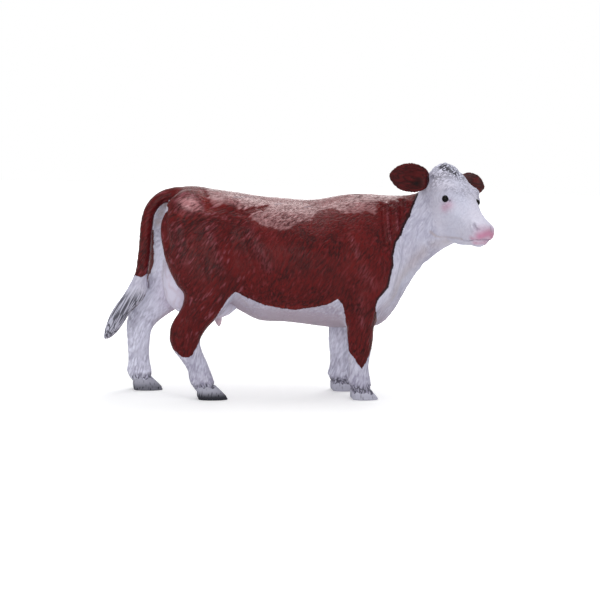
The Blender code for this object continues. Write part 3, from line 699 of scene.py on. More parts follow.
# Where the red coat ends, drawn over the photograph, in its pixels
coatOutline = (
    (164, 201), (158, 205), (157, 222), (159, 240), (164, 257), (168, 272), (172, 287), (177, 301), (178, 312),
    (172, 322), (163, 330), (163, 345), (175, 351), (181.5, 357), (188, 357.6), (192.5, 355), (196.6, 347),
    (201, 338), (210, 326), (217, 316), (223, 306), (229, 297.6), (235.7, 291.5), (248, 298.5), (265, 305.5),
    (293, 310), (306, 308.6), (320, 306.4), (327.8, 304.5), (335.6, 300.6), (338, 299.1), (342.6, 304.5),
    (344.9, 313.9), (346.5, 330), (349, 350), (356, 362), (362, 369), (367, 360), (371, 350), (378, 340),
    (377, 322), (375.7, 307.6), (377.9, 299.5), (382.3, 295.2), (388.5, 287.4), (390.8, 276.5), (393.9, 264.8),
    (393.2, 256.3), (396.3, 242.3), (401.7, 234.5), (404, 226.7), (409.5, 217.4), (413.4, 205.7), (418, 195.6),
    (418.8, 190), (426, 172), (424, 120), (110, 120), (110, 201),
)
# Where the varnish is thick enough to shine, with a painted highlight in the paint beneath: share of painted
# highlight, softness and fray of the edge, outline in pixels
glossPatches = {
    "loin and shoulder": (0.30, 0.9, 2.0, (
        (207, 190), (209, 200), (212, 204), (217, 206), (228, 205), (240, 208.5), (248, 208), (258, 206), (270, 205.6),
        (262, 210), (254, 213), (250, 216.5), (251, 219.5), (258, 223), (266, 226.5), (275, 229), (282, 231),
        (290, 229), (300, 222), (312, 219), (318, 213), (322, 211), (330, 210), (336, 208), (340, 212), (350, 214),
        (360, 213), (366, 212), (374, 215), (377, 212), (376, 203), (384, 202), (392, 203), (396, 201), (402, 197),
        (405, 180), (207, 180),
    )),
    "pin bone": (0.90, 2.0, 0.7, (
        (175.6, 201), (179, 196.8), (186, 195), (193, 196), (199, 200), (204, 206), (205, 212), (198, 213.6),
        (190, 212.6), (182, 210.4), (176.4, 206),
    )),
}
markings = {
    "nearTurn": -0.30,
    "farTurn": (
        (0, 0.0), (30, -0.15), (38, -0.50), (44, -0.76), (50, -0.84), (54.5, -0.80), (56, 0.12), (61, 0.12),
        (66, -1.2),
    ),
    "escutcheon": ((56, 6.0), (59, 6.3), (61, 7.1), (63, 8.2)),
    "escutcheonTop": 62.2,
    "underside": 8.5,
    "brisket": ((20, 23.8), (28, 24.3), (33, 25.5), (36, 30.0)),
    "tailBrownEnd": ((147, 273.4), (135, 275.4)),
    "hindShift": ((0, -14.2), (24, -14.4), (28, -13.4), (34, -12.5), (40, -8.5), (48, -4.4), (56, -2.8), (66, 0)),
    "foreShift": ((0, -4.0), (20, -3.6), (30, -3.2), (40, -2.7), (50, -1.6), (60, 0)),
}

# Paint laid along lines of the photograph: radius in millimetres, strength, then pixels
blushLines = {
    "muzzle": (1.95, 0.92, ((480, 236.4), (485.6, 234.4), (489.6, 233.4))),
    "nose": (2.00, 0.40, ((481, 231.6), (486, 230.4))),
    "lips": (1.00, 0.62, ((472, 238.4), (480, 238.6), (488, 239))),
    "lower lip": (1.00, 0.60, ((475, 242.8), (484, 242))),
    "under eye": (1.50, 0.48, ((444.4, 207.8), (448.6, 205))),
    "eye corner": (0.60, 0.25, ((449.6, 202.6),)),
}
nearInkAndShadowLines = {
    "nostril": (0.40, 0.92, ((473.8, 224.6), (475.2, 227.6), (477, 229.3))),
    "nick one": (0.30, 0.65, ((234, 197.2), (244, 196.6), (254, 196.8))),
    "nick two": (0.28, 0.60, ((275, 204.2), (282, 203.4))),
    "nick three": (0.28, 0.60, ((305, 207), (310, 206.2))),
    # painted shadow of the gap between the switch and the far thigh
    "switch shadow": (0.42, 0.85, ((149.6, 275), (148.4, 287), (144, 296))),
    "nostril end": (0.26, 0.45, ((476.4, 229.2), (479.4, 229.6))),
    "far nostril": (0.50, 0.60, ((491.4, 228.2), (491.8, 230.2))),
}
inkLines = {
    "mouth": (0.22, 0.55, ((463, 240.8), (468, 240.8), (474.8, 240), (483, 239.4), (489, 240.6))),
    "tear duct": (0.34, 0.90, ((449.9, 200.6),)),
}
# Painted shade: a darker beige in the jaw crease, on the throat and lower bib, in the strip under the tail, the groin
# and the belly fold
paintedShadeLines = {
    "jaw": (0.46, 0.85, (
        (430.6, 232), (436, 236.6), (441, 237.6), (445.6, 237.8), (450.3, 237.9), (456, 238.4), (462, 239.6),
    )),
    "throat": (2.40, 0.40, ((434, 245), (446, 241.6))),
    "throat low": (2.30, 0.48, ((424, 252), (409, 267), (400, 280), (394, 296))),
    "rear strip": (1.60, 0.75, ((168, 204), (161, 213), (159.6, 228), (161, 238))),
    "groin": (0.60, 0.45, ((164, 262), (163, 276), (168, 300))),
    "belly fold": (0.60, 0.30, ((240, 297), (247, 305))),
}
brightLines = {
    "pin bone": (1.60, 0.75, ((166, 211), (184, 215), (204, 214))),
    "hip": (1.30, 0.70, ((207, 210), (205, 200), (199, 190.6))),
    "neck top": (1.60, 0.50, ((404, 198), (411, 196))),
    "belly edge": (0.75, 0.70, ((262, 303.4), (292, 308), (318, 305), (337, 298.4))),
    "shoulder": (3.00, 0.25, ((352, 240), (358, 262))),
}


def paintAlong(points, lines, twin=None):
    mask = np.zeros(len(points))
    for radius, strength, pixels in lines.values():
        for path in (pathOnSkin(pixels), pathOnSkin(pixels, twin)) if twin else (pathOnSkin(pixels),):
            mask = np.maximum(mask, strength * alongPath(points, path, radius))
    return mask


def coatEdge(points, normals):  # millimetres inside the red coat, below zero in the white
    x, y, z = points.T
    left = y > 0
    hindShift = np.interp(z, *zip(*markings["hindShift"])) * (x < -12)
    foreShift = np.interp(z, *zip(*markings["foreShift"])) * (x > 5) * (x < 32)
    spots = pixelsOf(np.stack([x - left * (hindShift + foreShift), -np.abs(y), z], axis=1))
    away = distanceToPath(spots, coatOutline + coatOutline[:1]) * photoView["pixel"]
    edge = np.where(insideOutline(spots, coatOutline), away, -away)
    # the inner faces of legs and thighs, the rear and the middle of the belly stay white
    outward = np.where(left, normals[:, 1], -normals[:, 1])
    turn = np.where(left, np.interp(z, *zip(*markings["farTurn"])), markings["nearTurn"])
    legs = (z < 33) | ((x < -30) & (z < np.where(left, 66, 60))) | ((x > 6) & (x < 30) & (z < 27))
    edge = np.where(legs, np.minimum(edge, (outward - turn) * 6), edge)
    above = 2.6 * np.maximum(z - markings["escutcheonTop"], 0)
    halfWidth = np.interp(z, *zip(*markings["escutcheon"]))
    rear = (x < -38) & (z > 26)
    edge = np.where(rear, np.minimum(edge, np.hypot(y, above) - halfWidth), edge)
    under = (z < 40) & (normals[:, 2] < -0.15) & (x > -34) & (x < 14)
    edge = np.where(under, np.minimum(edge, np.abs(y) - markings["underside"]), edge)
    brisket = 3 * (np.interp(z, *zip(*markings["brisket"])) - x)
    return np.where((x > 20) & (z < 35) & (z > 20), np.minimum(edge, brisket), edge)


# Wear and tones of the paint, with painted sheen on ridges and hair strokes and painted light on the far legs, in
# millimetres and shares
wear = {
    "groinAt": (-38, 33),
    "groinReach": (8, 7),
    "groin": 0.35,
    "heel": (0.15, 1.0, 0.62),  # forefeet, near hind foot, far hind foot
    "heelTop": 3.4,
    "heelFade": 2.6,
    "speckSize": (0.5, 0.5, 1.6),
    "speck": 0.35,
    # painted sheen: how much of it lies along the hair strokes, and how much on the ridges
    "paintedSheen": (0.14, 0.50),
    "sheenPatchSize": 10,
    "ridge": (0.35, 0.55),
    # painted light on the far foreleg
    "cleanForeleg": 0.45,
    "legHair": (0.2, 0.75),  # far side, near side
}


def addPaintFacts(mesh, facts):
    points = figurePoints(pointsOf(mesh))
    normals = normalsOf(mesh)
    x, y, z = points.T
    edge = coatEdge(points, normals)
    edge = np.where(facts["head"] > 0.5, -4, edge)
    (ax, ay), (bx, by) = markings["tailBrownEnd"]
    start, end = onSidePlane(ax, ay, 0), onSidePlane(bx, by, 0)
    endHeight = start[1] + (x - start[0]) * (end[1] - start[1]) / (end[0] - start[0])
    endHeight -= 0.8 * (1 - np.clip(np.abs(2 * x - start[0] - end[0]) / abs(end[0] - start[0]), 0, 1))
    tail = (x < seams["tail"]) & (np.abs(y) < seams["tailHalfWidth"]) & (z > 16)
    edge = np.where(tail, z - endHeight, edge)

    (groinX, groinZ), (reachX, reachZ) = wear["groinAt"], wear["groinReach"]
    groin = np.exp(-(((x - groinX) / reachX) ** 2 + ((z - groinZ) / reachZ) ** 2)) * wear["groin"] * (np.abs(y) < 9)
    blush = np.maximum(paintAlong(points, blushLines, headTwin), groin)
    inkAndShadow = np.maximum(paintAlong(points, inkLines, headTwin), paintAlong(points, nearInkAndShadowLines))
    paintedShade = paintAlong(points, paintedShadeLines, sideTwin)
    bright = paintAlong(points, brightLines, sideTwin)
    spots = pixelsOf(np.stack([x, -np.abs(y), z], axis=1))
    varnish = np.zeros(len(points))
    bloom = np.zeros(len(points))
    upward = (normals[:, 2] > -0.2) * (z > 40) * (1 - facts["head"])
    # inside each gloss patch the varnish thickens, and the red is lightened towards pink as a painted highlight, the
    # pin bone most
    for share, soft, fray, outline in glossPatches.values():
        away = distanceToPath(spots, outline + outline[:1]) * photoView["pixel"]
        signed = np.where(insideOutline(spots, outline), away, -away) + fray * facts["strokeNoise"]
        patch = smoothStep(signed, -0.3, soft - 0.3) * upward
        varnish = np.maximum(varnish, patch)
        bloom = np.maximum(bloom, share * patch)
    shaded = smoothStep(-normals[:, 2], 0.2, 0.9) * smoothStep(40 - z, 0, 12) * smoothStep(z, 8, 20)
    foreHeel, nearHeel, farHeel = wear["heel"]
    heel = np.where(x > 0, foreHeel, np.where(y > 0, farHeel, nearHeel))
    heel = smoothStep(wear["heelTop"] - z, 0, wear["heelFade"]) * heel
    speck = smoothStep(gradientNoise(points / np.array(wear["speckSize"]), 87), 0.12, 0.40) * wear["speck"]
    # Painted sheen: along the hair strokes, most on the hindquarters, and on the moulded ridges the red is lightened
    # towards mauve, in place of the light that they catch
    base, swing = wear["paintedSheen"]
    paintedSheen = smoothStep(gradientNoise(points / wear["sheenPatchSize"], 89), -0.25, 0.25) * smoothStep(-x, 14, 24)
    paintedSheen = base + swing * paintedSheen
    base, swing = wear["ridge"]
    lighterRed = facts["ridge"] * (base + swing * facts["strokes"]) + paintedSheen * facts["strokes"]
    # Painted light: the far hind leg and inner thigh, and less so the far foreleg, are painted a brighter white in
    # place of light that the body keeps from them
    clean = smoothStep(-x, 30, 36) * smoothStep(64 - z, 0, 6)
    clean = clean + wear["cleanForeleg"] * smoothStep(x, 4, 8) * smoothStep(29 - z, 0, 4)
    clean = clean * smoothStep(y, -3, 3)
    facts = dict(facts, coatEdge=edge, blush=blush, inkAndShadow=inkAndShadow, paintedShade=paintedShade, bright=bright, shade=shaded)
    facts.update(varnish=varnish, bloom=bloom, clean=clean)
    facts["lighterRed"] = np.clip(lighterRed, 0, 1)
    facts["hoofDark"] = np.clip(heel + speck * facts["hoof"], 0, 1)
    facts["hoofPale"] = facts["hoof"] * (x > 0)
    facts["rim"] = smoothStep(x, 18, 24) * smoothStep(z, 27, 34)
    facts["legHair"] = smoothStep(33 - z, 0, 4) * (1 - facts["head"]) * np.where(y > 0, *wear["legHair"])
    facts["hairAngle"] = np.radians(lieOfCoat(points))
    for spent in ("ridge", "strokes", "strokeNoise"):
        del facts[spent]
    for name, values in facts.items():
        setFact(mesh, name, values)
    turned = mesh.attributes.new("skinNormal", "FLOAT_VECTOR", "POINT")
    turned.data.foreach_set("vector", normals.astype(np.float32).ravel())


addPaintFacts(skin, facts)
print("markings drawn")


# The skin comes apart at the seams into the pieces that the moulds make
def cutSkin(mesh):
    _, headWay = headPart(np.zeros((1, 3)))
    planes = (
        (Vector(seams["head"]), Vector(headWay), lambda p: p.z > seams["headLowest"]),
        (Vector((seams["tail"], 0, 0)), Vector((-1, 0, 0)), lambda p: abs(p.y) < seams["tailHalfWidth"] and p.z > 40),
        (Vector((0, 0, seams["foreleg"])), Vector((0, 0, -1)), lambda p: 4 < p.x < 36),
        (Vector((0, 0, seams["hindLeg"])), Vector((0, 0, -1)), lambda p: p.x < -20),
    )
    with editing(mesh) as shaped:
        for centre, way, near in planes:
            faces = []
            for face in shaped.faces:
                spot = (face.verts[0].co - middle) / mm
                if abs((spot - centre).dot(way)) < seams["cutReach"] and near(spot):
                    faces.append(face)
            edges = {edge for face in faces for edge in face.edges}
            verts = {vert for face in faces for vert in face.verts}
            bmesh.ops.bisect_plane(
                shaped, geom=faces + list(edges) + list(verts), dist=0.01 * mm,
                plane_co=middle + centre * mm, plane_no=way,
            )
    return mesh


def pieceOfFaces(mesh):
    centres = np.empty(len(mesh.polygons) * 3, dtype=np.float32)
    mesh.polygons.foreach_get("center", centres)
    centres = figurePoints(centres.reshape(-1, 3).astype(float))
    x, y, z = centres.T
    beyondHead, _ = headPart(centres)
    piece = np.zeros(len(centres), int)
    piece[(beyondHead > 0) & (z > seams["headLowest"])] = 1
    piece[(x < seams["tail"]) & (np.abs(y) < seams["tailHalfWidth"]) & (z > 16)] = 2
    fore = (z < seams["foreleg"]) & (x > 0)
    hind = (z < seams["hindLeg"]) & (x <= -15) & (piece != 2) & ((x < -38) | (z < 24))
    hind |= (z < seams["hindLeg"]) & (x <= -24) & (np.abs(y) > 5.2) & (piece != 2)
    piece[fore & (y < 0)] = 3
    piece[fore & (y >= 0)] = 4
    piece[hind & (y < 0)] = 5
    piece[hind & (y >= 0)] = 6
    return piece


def partOfSkin(mesh, chosen, name):
    shaped = bmesh.new()
    shaped.from_mesh(mesh)
    shaped.faces.ensure_lookup_table()
    drop = [shaped.faces[i] for i in np.nonzero(~chosen)[0]]
    bmesh.ops.delete(shaped, geom=drop, context="FACES")
    rims = [edge for edge in shaped.edges if edge.is_boundary]
    bmesh.ops.holes_fill(shaped, edges=rims, sides=0)
    made = bpy.data.meshes.new(name)
    shaped.to_mesh(made)
    shaped.free()
    made.shade_smooth()
    flat = np.empty(len(made.vertices) * 3, dtype=np.float32)
    made.attributes["skinNormal"].data.foreach_get("vector", flat)
    made.normals_split_custom_set_from_vertices(flat.reshape(-1, 3).tolist())
    made.attributes.remove(made.attributes["skinNormal"])
    return made


# Node helpers
def addNode(tree, kind, place=(0, 0), **settings):
    node = tree.nodes.new(kind)
    node.location = place
    for key, value in settings.items():
        setattr(node, key, value)
    return node


def feed(tree, value, socket):  # a number or colour is set on the socket, and an output is linked
    if isinstance(value, tuple):
        socket.default_value = (*value, 1)
    elif isinstance(value, (int, float)):
        socket.default_value = value
    else:
        tree.links.new(value, socket)


def calculate(tree, operation, a, b=0.0, c=None, clamp=False):
    node = addNode(tree, "ShaderNodeMath", operation=operation, use_clamp=clamp)
    for socket, value in zip(node.inputs, (a, b) if c is None else (a, b, c)):
        feed(tree, value, socket)
    return node.outputs[0]


def times(tree, a, b, clamp=False):
    return calculate(tree, "MULTIPLY", a, b, clamp=clamp)


def timesPlus(tree, a, b, c, clamp=False):
    return calculate(tree, "MULTIPLY_ADD", a, b, c, clamp)


def remap(tree, value, low, high, toLow=0.0, toHigh=1.0):
    node = addNode(tree, "ShaderNodeMapRange", interpolation_type="SMOOTHSTEP")
    for socket, number in zip(node.inputs, (value, low, high, toLow, toHigh)):
        feed(tree, number, socket)
    return node.outputs["Result"]


def mixColours(tree, share, first, second):
    node = addNode(tree, "ShaderNodeMix", data_type="RGBA")
    for place, value in ((0, share), (6, first), (7, second)):
        feed(tree, value, node.inputs[place])
    return node.outputs[2]


def mixNumbers(tree, share, first, second):
    node = addNode(tree, "ShaderNodeMix", data_type="FLOAT")
    for place, value in ((0, share), (2, first), (3, second)):
        feed(tree, value, node.inputs[place])
    return node.outputs[0]


def newGroup(name, inputs, outputs):
    tree = bpy.data.node_groups.new(name, "ShaderNodeTree")
    for label, kind, value in inputs:
        socket = tree.interface.new_socket(name=label, in_out="INPUT", socket_type=kind)
        if value is not None:
            socket.default_value = value
    for label, kind in outputs:
        tree.interface.new_socket(name=label, in_out="OUTPUT", socket_type=kind)
    return tree, addNode(tree, "NodeGroupInput", (-900, 0)), addNode(tree, "NodeGroupOutput", (900, 0))


def noiseAt(tree, vector, scale, detail=2.0, roughness=0.5):
    node = addNode(tree, "ShaderNodeTexNoise")
    for label, value in (("Vector", vector), ("Scale", scale), ("Detail", detail), ("Roughness", roughness)):
        feed(tree, value, node.inputs[label])
    return node.outputs["Fac"]


def ownPlace(tree):  # where a point of the piece lies, in metres
    return addNode(tree, "ShaderNodeTexCoord").outputs["Object"]


def newPaint(name):
    material = bpy.data.materials.new(name)
    material.use_nodes = True
    return material, material.node_tree, material.node_tree.nodes["Principled BSDF"]


def dress(tree, surface, **values):  # feeds the shader's sockets by their names
    for label, value in values.items():
        feed(tree, value, surface.inputs[label.replace("_", " ")])


def addBump(tree, surface, height, strength, distance):
    bump = addNode(tree, "ShaderNodeBump")
    for label, value in (("Strength", strength), ("Distance", distance), ("Height", height)):
        feed(tree, value, bump.inputs[label])
    tree.links.new(bump.outputs["Normal"], surface.inputs["Normal"])


# Fine moulded hair, finer than the mesh: short grooves along the lie of the coat
def hairGroup():
    tree, given, result = newGroup(
        "fineHair",
        [("Angle", "NodeSocketFloat", 1.0), ("Strokes per metre", "NodeSocketFloat", 1800.0)],
        [("Height", "NodeSocketFloat")],
    )
    coordinates = ownPlace(tree)
    step = math.radians(coatHair["angles"][1] - coatHair["angles"][0])
    total = None
    for lie in coatHair["angles"]:
        off = calculate(tree, "ABSOLUTE", calculate(tree, "SUBTRACT", given.outputs["Angle"], math.radians(lie)))
        weight = calculate(tree, "SUBTRACT", 1.0, calculate(tree, "DIVIDE", off, step), clamp=True)
        turn = addNode(tree, "ShaderNodeMapping", vector_type="TEXTURE")
        turn.inputs["Rotation"].default_value = (0, math.radians(180 - lie), 0)
        turn.inputs["Scale"].default_value = (5.0, 1.0, 1.0)
        tree.links.new(coordinates, turn.inputs["Vector"])
        strokes = noiseAt(tree, turn.outputs["Vector"], given.outputs["Strokes per metre"], 1.0)
        share = times(tree, strokes, weight)
        total = share if total is None else calculate(tree, "ADD", total, share)
    tree.links.new(remap(tree, total, 0.39, 0.57), result.inputs["Height"])
    return tree


# A painted edge that frays along the hair
def paintEdgeGroup():
    tree, given, result = newGroup(
        "paintEdge",
        [("Inside", "NodeSocketFloat", 0.0), ("Fray", "NodeSocketFloat", 0.6), ("Softness", "NodeSocketFloat", 0.12)],
        [("Mask", "NodeSocketFloat"), ("Depth", "NodeSocketFloat")],
    )
    coordinates = ownPlace(tree)
    stretch = addNode(tree, "ShaderNodeMapping")
    stretch.inputs["Scale"].default_value = (1.0, 1.0, 0.45)
    tree.links.new(coordinates, stretch.inputs["Vector"])
    ragged = calculate(tree, "SUBTRACT", noiseAt(tree, stretch.outputs["Vector"], 900.0, 3.0, 0.65), 0.5)
    shifted = timesPlus(tree, ragged, given.outputs["Fray"], given.outputs["Inside"])
    sharp = calculate(tree, "DIVIDE", shifted, given.outputs["Softness"])
    tree.links.new(shifted, result.inputs["Depth"])
    tree.links.new(calculate(tree, "ADD", sharp, 0.5, clamp=True), result.inputs["Mask"])
    return tree


# Thin paint that stays in the grooves
def washGroup():
    tree, given, result = newGroup(
        "grooveWash",
        [
            ("Cavity", "NodeSocketFloat", 0.0),
            ("Full at", "NodeSocketFloat", 0.12),
            ("Patchiness", "NodeSocketFloat", 0.5),
        ],
        [("Mask", "NodeSocketFloat")],
    )
    coordinates = ownPlace(tree)
    patches = remap(tree, noiseAt(tree, coordinates, 260.0, 3.0), 0.35, 0.62)
    held = calculate(tree, "DIVIDE", given.outputs["Cavity"], given.outputs["Full at"], clamp=True)
    loss = times(tree, calculate(tree, "SUBTRACT", 1.0, patches), given.outputs["Patchiness"])
    kept = calculate(tree, "SUBTRACT", 1.0, loss)
    tree.links.new(times(tree, held, kept), result.inputs["Mask"])
    return tree


# Slow unevenness of sprayed paint and of the gloss
def mottleGroup():
    tree, given, result = newGroup(
        "sprayMottle",
        [("Scale", "NodeSocketFloat", 120.0)],
        [("Broad", "NodeSocketFloat"), ("Speckle", "NodeSocketFloat")],
    )
    coordinates = ownPlace(tree)
    broad = noiseAt(tree, coordinates, given.outputs["Scale"], 3.0, 0.55)
    speckle = noiseAt(tree, coordinates, 4200.0, 2.0, 0.6)
    tree.links.new(remap(tree, broad, 0.3, 0.7), result.inputs["Broad"])
    tree.links.new(remap(tree, speckle, 0.3, 0.7), result.inputs["Speckle"])
    return tree


hairTree = hairGroup()
edgeTree = paintEdgeGroup()
washTree = washGroup()
mottleTree = mottleGroup()


def useGroup(tree, group, **values):
    node = addNode(tree, "ShaderNodeGroup", node_tree=group)
    dress(tree, node, **values)
    return node


def readFact(tree, name):
    return addNode(tree, "ShaderNodeAttribute", attribute_name=name).outputs["Fac"]


def painted(tree, base, fact, paint):  # one more paint over the base, where the fact says
    return mixColours(tree, readFact(tree, fact), base, paints[paint])


paints = {
    "red": (0.130, 0.0070, 0.0074),
    "redDeep": (0.114, 0.0060, 0.0066),
    "redBright": (0.210, 0.0150, 0.0110),
    # painted sheen on ridges and hair strokes
    "redSheen": (0.210, 0.0520, 0.0660),
    # painted highlight colour
    "bloom": (0.560, 0.2350, 0.2500),
    "redGroove": (0.030, 0.0024, 0.0028),
    "rim": (0.016, 0.0028, 0.0050),
    "white": (0.590, 0.588, 0.705),
    "whiteWarm": (0.610, 0.588, 0.690),
    # painted light on the far legs
    "whiteFillLit": (0.800, 0.795, 0.930),
    "whiteGroove": (0.330, 0.310, 0.410),
    # painted shade colour for creases and hollows
    "paintedShade": (0.430, 0.360, 0.370),
    "greyWash": (0.040, 0.038, 0.052),
    "hoof": (0.380, 0.375, 0.445),
    "hoofPale": (0.520, 0.510, 0.610),
    "hoofDark": (0.022, 0.022, 0.030),
    "pink": (0.535, 0.212, 0.330),
    # ink, also used for the painted shadow beside the switch
    "inkAndShadow": (0.085, 0.040, 0.080),
    "shade": (0.400, 0.325, 0.385),
    "roughRed": 0.34,
    "roughWhite": 0.50,
    "shine": 0.12,
    "varnish": 0.92,
    "roughVarnish": 0.24,
    "hairContrast": 0.36,
    "whiteHair": 0.18,
    "legHair": 0.26,
    "whiteWash": 0.6,
    "legWash": 0.35,
    "redWash": 0.7,
    "sheenOnHair": (1.4, 0.15),
    "rimBand": (0.45, 1.10),
    "varnishLoss": -1.4,
    "bump": (0.8, 0.00009),
}


def skinPaint(name):
    material, tree, surface = newPaint(name)
    mottle = useGroup(tree, mottleTree, Scale=120.0)
    hair = useGroup(tree, hairTree, Angle=readFact(tree, "hairAngle"))
    cavity = readFact(tree, "cavity")
    wash = useGroup(tree, washTree, Cavity=cavity, Full_at=0.12, Patchiness=0.35)
    coat = useGroup(tree, edgeTree, Inside=readFact(tree, "coatEdge"), Fray=1.0, Softness=0.16)

    white = mixColours(tree, mottle.outputs["Broad"], paints["white"], paints["whiteWarm"])
    # painted light: a brighter white on the far legs
    white = painted(tree, white, "clean", "whiteFillLit")
    between = calculate(tree, "SUBTRACT", 1.0, hair.outputs["Height"])
    between = times(tree, between, calculate(tree, "SUBTRACT", 1.0, readFact(tree, "head")))
    legHair = readFact(tree, "legHair")
    held = timesPlus(tree, legHair, paints["legWash"], paints["whiteWash"])
    held = times(tree, wash.outputs["Mask"], held)
    lines = timesPlus(tree, legHair, paints["legHair"], paints["whiteHair"])
    cutHair = timesPlus(tree, between, lines, held, clamp=True)
    white = mixColours(tree, cutHair, white, paints["whiteGroove"])
    white = painted(tree, white, "shade", "shade")
    # painted shade in creases, under the throat and under the tail
    white = painted(tree, white, "paintedShade", "paintedShade")
    white = painted(tree, white, "blush", "pink")
    strand = readFact(tree, "strand")
    dark = calculate(tree, "MAXIMUM", readFact(tree, "curl"), times(tree, strand, 0.9))
    white = mixColours(tree, dark, white, paints["greyWash"])

    red = mixColours(tree, mottle.outputs["Broad"], paints["red"], paints["redDeep"])
    red = painted(tree, red, "bright", "redBright")
    # painted sheen: the red lightened towards mauve on ridges and along hair strokes
    paintedSheen = timesPlus(tree, hair.outputs["Height"], *paints["sheenOnHair"])
    paintedSheen = times(tree, readFact(tree, "lighterRed"), paintedSheen, clamp=True)
    red = mixColours(tree, paintedSheen, red, paints["redSheen"])
    # painted highlight in the gloss patches
    red = painted(tree, red, "bloom", "bloom")
    cutRed = times(tree, wash.outputs["Mask"], paints["redWash"])
    cutRed = timesPlus(tree, between, paints["hairContrast"], cutRed, clamp=True)
    red = mixColours(tree, cutRed, red, paints["redGroove"])
    band = remap(tree, coat.outputs["Depth"], *paints["rimBand"], 1.0, 0.0)
    red = mixColours(tree, times(tree, band, readFact(tree, "rim")), red, paints["rim"])
    colour = mixColours(tree, coat.outputs["Mask"], white, red)

    hoofTone = painted(tree, paints["hoof"], "hoofPale", "hoofPale")
    hoofTone = painted(tree, hoofTone, "hoofDark", "hoofDark")
    colour = painted(tree, colour, "fringe", "greyWash")
    colour = mixColours(tree, readFact(tree, "hoof"), colour, hoofTone)
    # ink lines, and a painted shadow beside the switch
    colour = painted(tree, colour, "inkAndShadow", "inkAndShadow")

    gloss = mixNumbers(tree, coat.outputs["Mask"], paints["roughWhite"], paints["roughRed"])
    uneven = timesPlus(tree, mottle.outputs["Speckle"], 0.10, -0.05)
    gloss = calculate(tree, "ADD", gloss, uneven)
    thick = times(tree, readFact(tree, "varnish"), coat.outputs["Mask"])
    bare = timesPlus(tree, cutRed, paints["varnishLoss"], 1.0, clamp=True)
    thick = times(tree, thick, bare)
    thick = times(tree, thick, paints["varnish"])
    dress(tree, surface, Base_Color=colour, Roughness=gloss, Coat_Weight=thick)
    dress(tree, surface, Specular_IOR_Level=paints["shine"], Coat_Roughness=paints["roughVarnish"])
    addBump(tree, surface, hair.outputs["Height"], *paints["bump"])
    return material


def addPiece(name, mesh, material, node):
    mesh.materials.clear()
    mesh.materials.append(material)
    piece = bpy.data.objects.new(name, mesh)
    bpy.context.scene.collection.objects.link(piece)
    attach(piece, "root")
    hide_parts(node)
    return piece


skin = cutSkin(skin)
belongs = pieceOfFaces(skin)
for number, (name, (node, slot)) in enumerate(pieceLooks.items()):
    part = partOfSkin(skin, belongs == number, name)
    addPiece(name, part, skinPaint(name + "Paint"), node)
print("skin parted into", len(pieceLooks), "pieces")

# Ears: a thin leaf with hair lines running from root to tip
earLooks = {
    "cell": 0.30,
    "swell": 0.10,
    "rounds": 5,
    "lineSpacing": 0.9,
    "lineDepth": 0.13,
    "colour": (0.062, 0.0040, 0.0044),
    "groove": (0.022, 0.0018, 0.0020),
    "lighterRed": (0.086, 0.0070, 0.0076),
    "pit": (0.006, 0.0008, 0.0010),
    "pitPixel": (416.5, 183.5),
    "pitRadius": 1.5,
    "rootShift": 3.4,
    "rootReach": (38.6, 41.4),
    "farSquash": 0.88,
    "roughness": 0.38,
    "bump": (0.4, 0.00006),
}


def fineCopy(node, looks):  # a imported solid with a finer, smoothed skin
    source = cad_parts[node].data.copy()
    fine = withModifier(source, "REMESH", mode="VOXEL", voxel_size=looks["cell"] * mm)
    return smoothed(fine, looks["rounds"], 0.5)


def spotOnNode(node, px, py):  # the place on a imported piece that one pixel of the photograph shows
    hit, _, _, _ = treeOf(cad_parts[node].data).ray_cast(cameraPlace(), photoRay(px, py))
    return Vector((hit - middle) / mm)


earPit = spotOnNode("ear_right", *earLooks["pitPixel"])


def earMesh(node):
    fine = fineCopy(node, earLooks)
    points = figurePoints(pointsOf(fine))
    normals = normalsOf(fine)
    centre = points.mean(axis=0)
    way = np.linalg.svd(points - centre, full_matrices=False)[2][0]
    spots = points / earLooks["lineSpacing"]
    spots = spots - np.outer(spots @ way, way) * 0.82
    cut = grooves(gradientNoise(spots, 91), 0.15) * earLooks["lineDepth"]
    rise = earLooks["swell"] - cut
    points = points + rise[:, None] * normals
    if node == "ear_right":
        points[:, 1] += earLooks["rootShift"] * smoothStep(points[:, 0], *earLooks["rootReach"])
    else:
        points[:, 2] = centre[2] + (points[:, 2] - centre[2]) * earLooks["farSquash"]
    movePoints(fine, points * mm + np.array(middle))
    pit = np.zeros(len(points))
    for spot in (earPit, headTwin(earPit)):
        away = np.linalg.norm(points - np.array(spot), axis=1)
        pit = np.maximum(pit, np.exp(-((away / earLooks["pitRadius"]) ** 2)))
    setFact(fine, "cavity", cut)
    setFact(fine, "pit", pit)
    fine.shade_smooth()
    return fine


def earPaint():
    material, tree, surface = newPaint("earPaint")
    mottle = useGroup(tree, mottleTree, Scale=260.0)
    wash = useGroup(tree, washTree, Cavity=readFact(tree, "cavity"), Full_at=0.13, Patchiness=0.3)
    colour = mixColours(tree, mottle.outputs["Broad"], earLooks["colour"], earLooks["lighterRed"])
    colour = mixColours(tree, wash.outputs["Mask"], colour, earLooks["groove"])
    colour = mixColours(tree, readFact(tree, "pit"), colour, earLooks["pit"])
    uneven = timesPlus(tree, mottle.outputs["Speckle"], 0.12, earLooks["roughness"])
    dress(tree, surface, Base_Color=colour, Roughness=uneven, Specular_IOR_Level=paints["shine"])
    addBump(tree, surface, mottle.outputs["Speckle"], *earLooks["bump"])
    return material


earMaterial = earPaint()
for name, node in (("earRight", "ear_right"), ("earLeft", "ear_left")):
    addPiece(name, earMesh(node), earMaterial, node)
print("ears made")

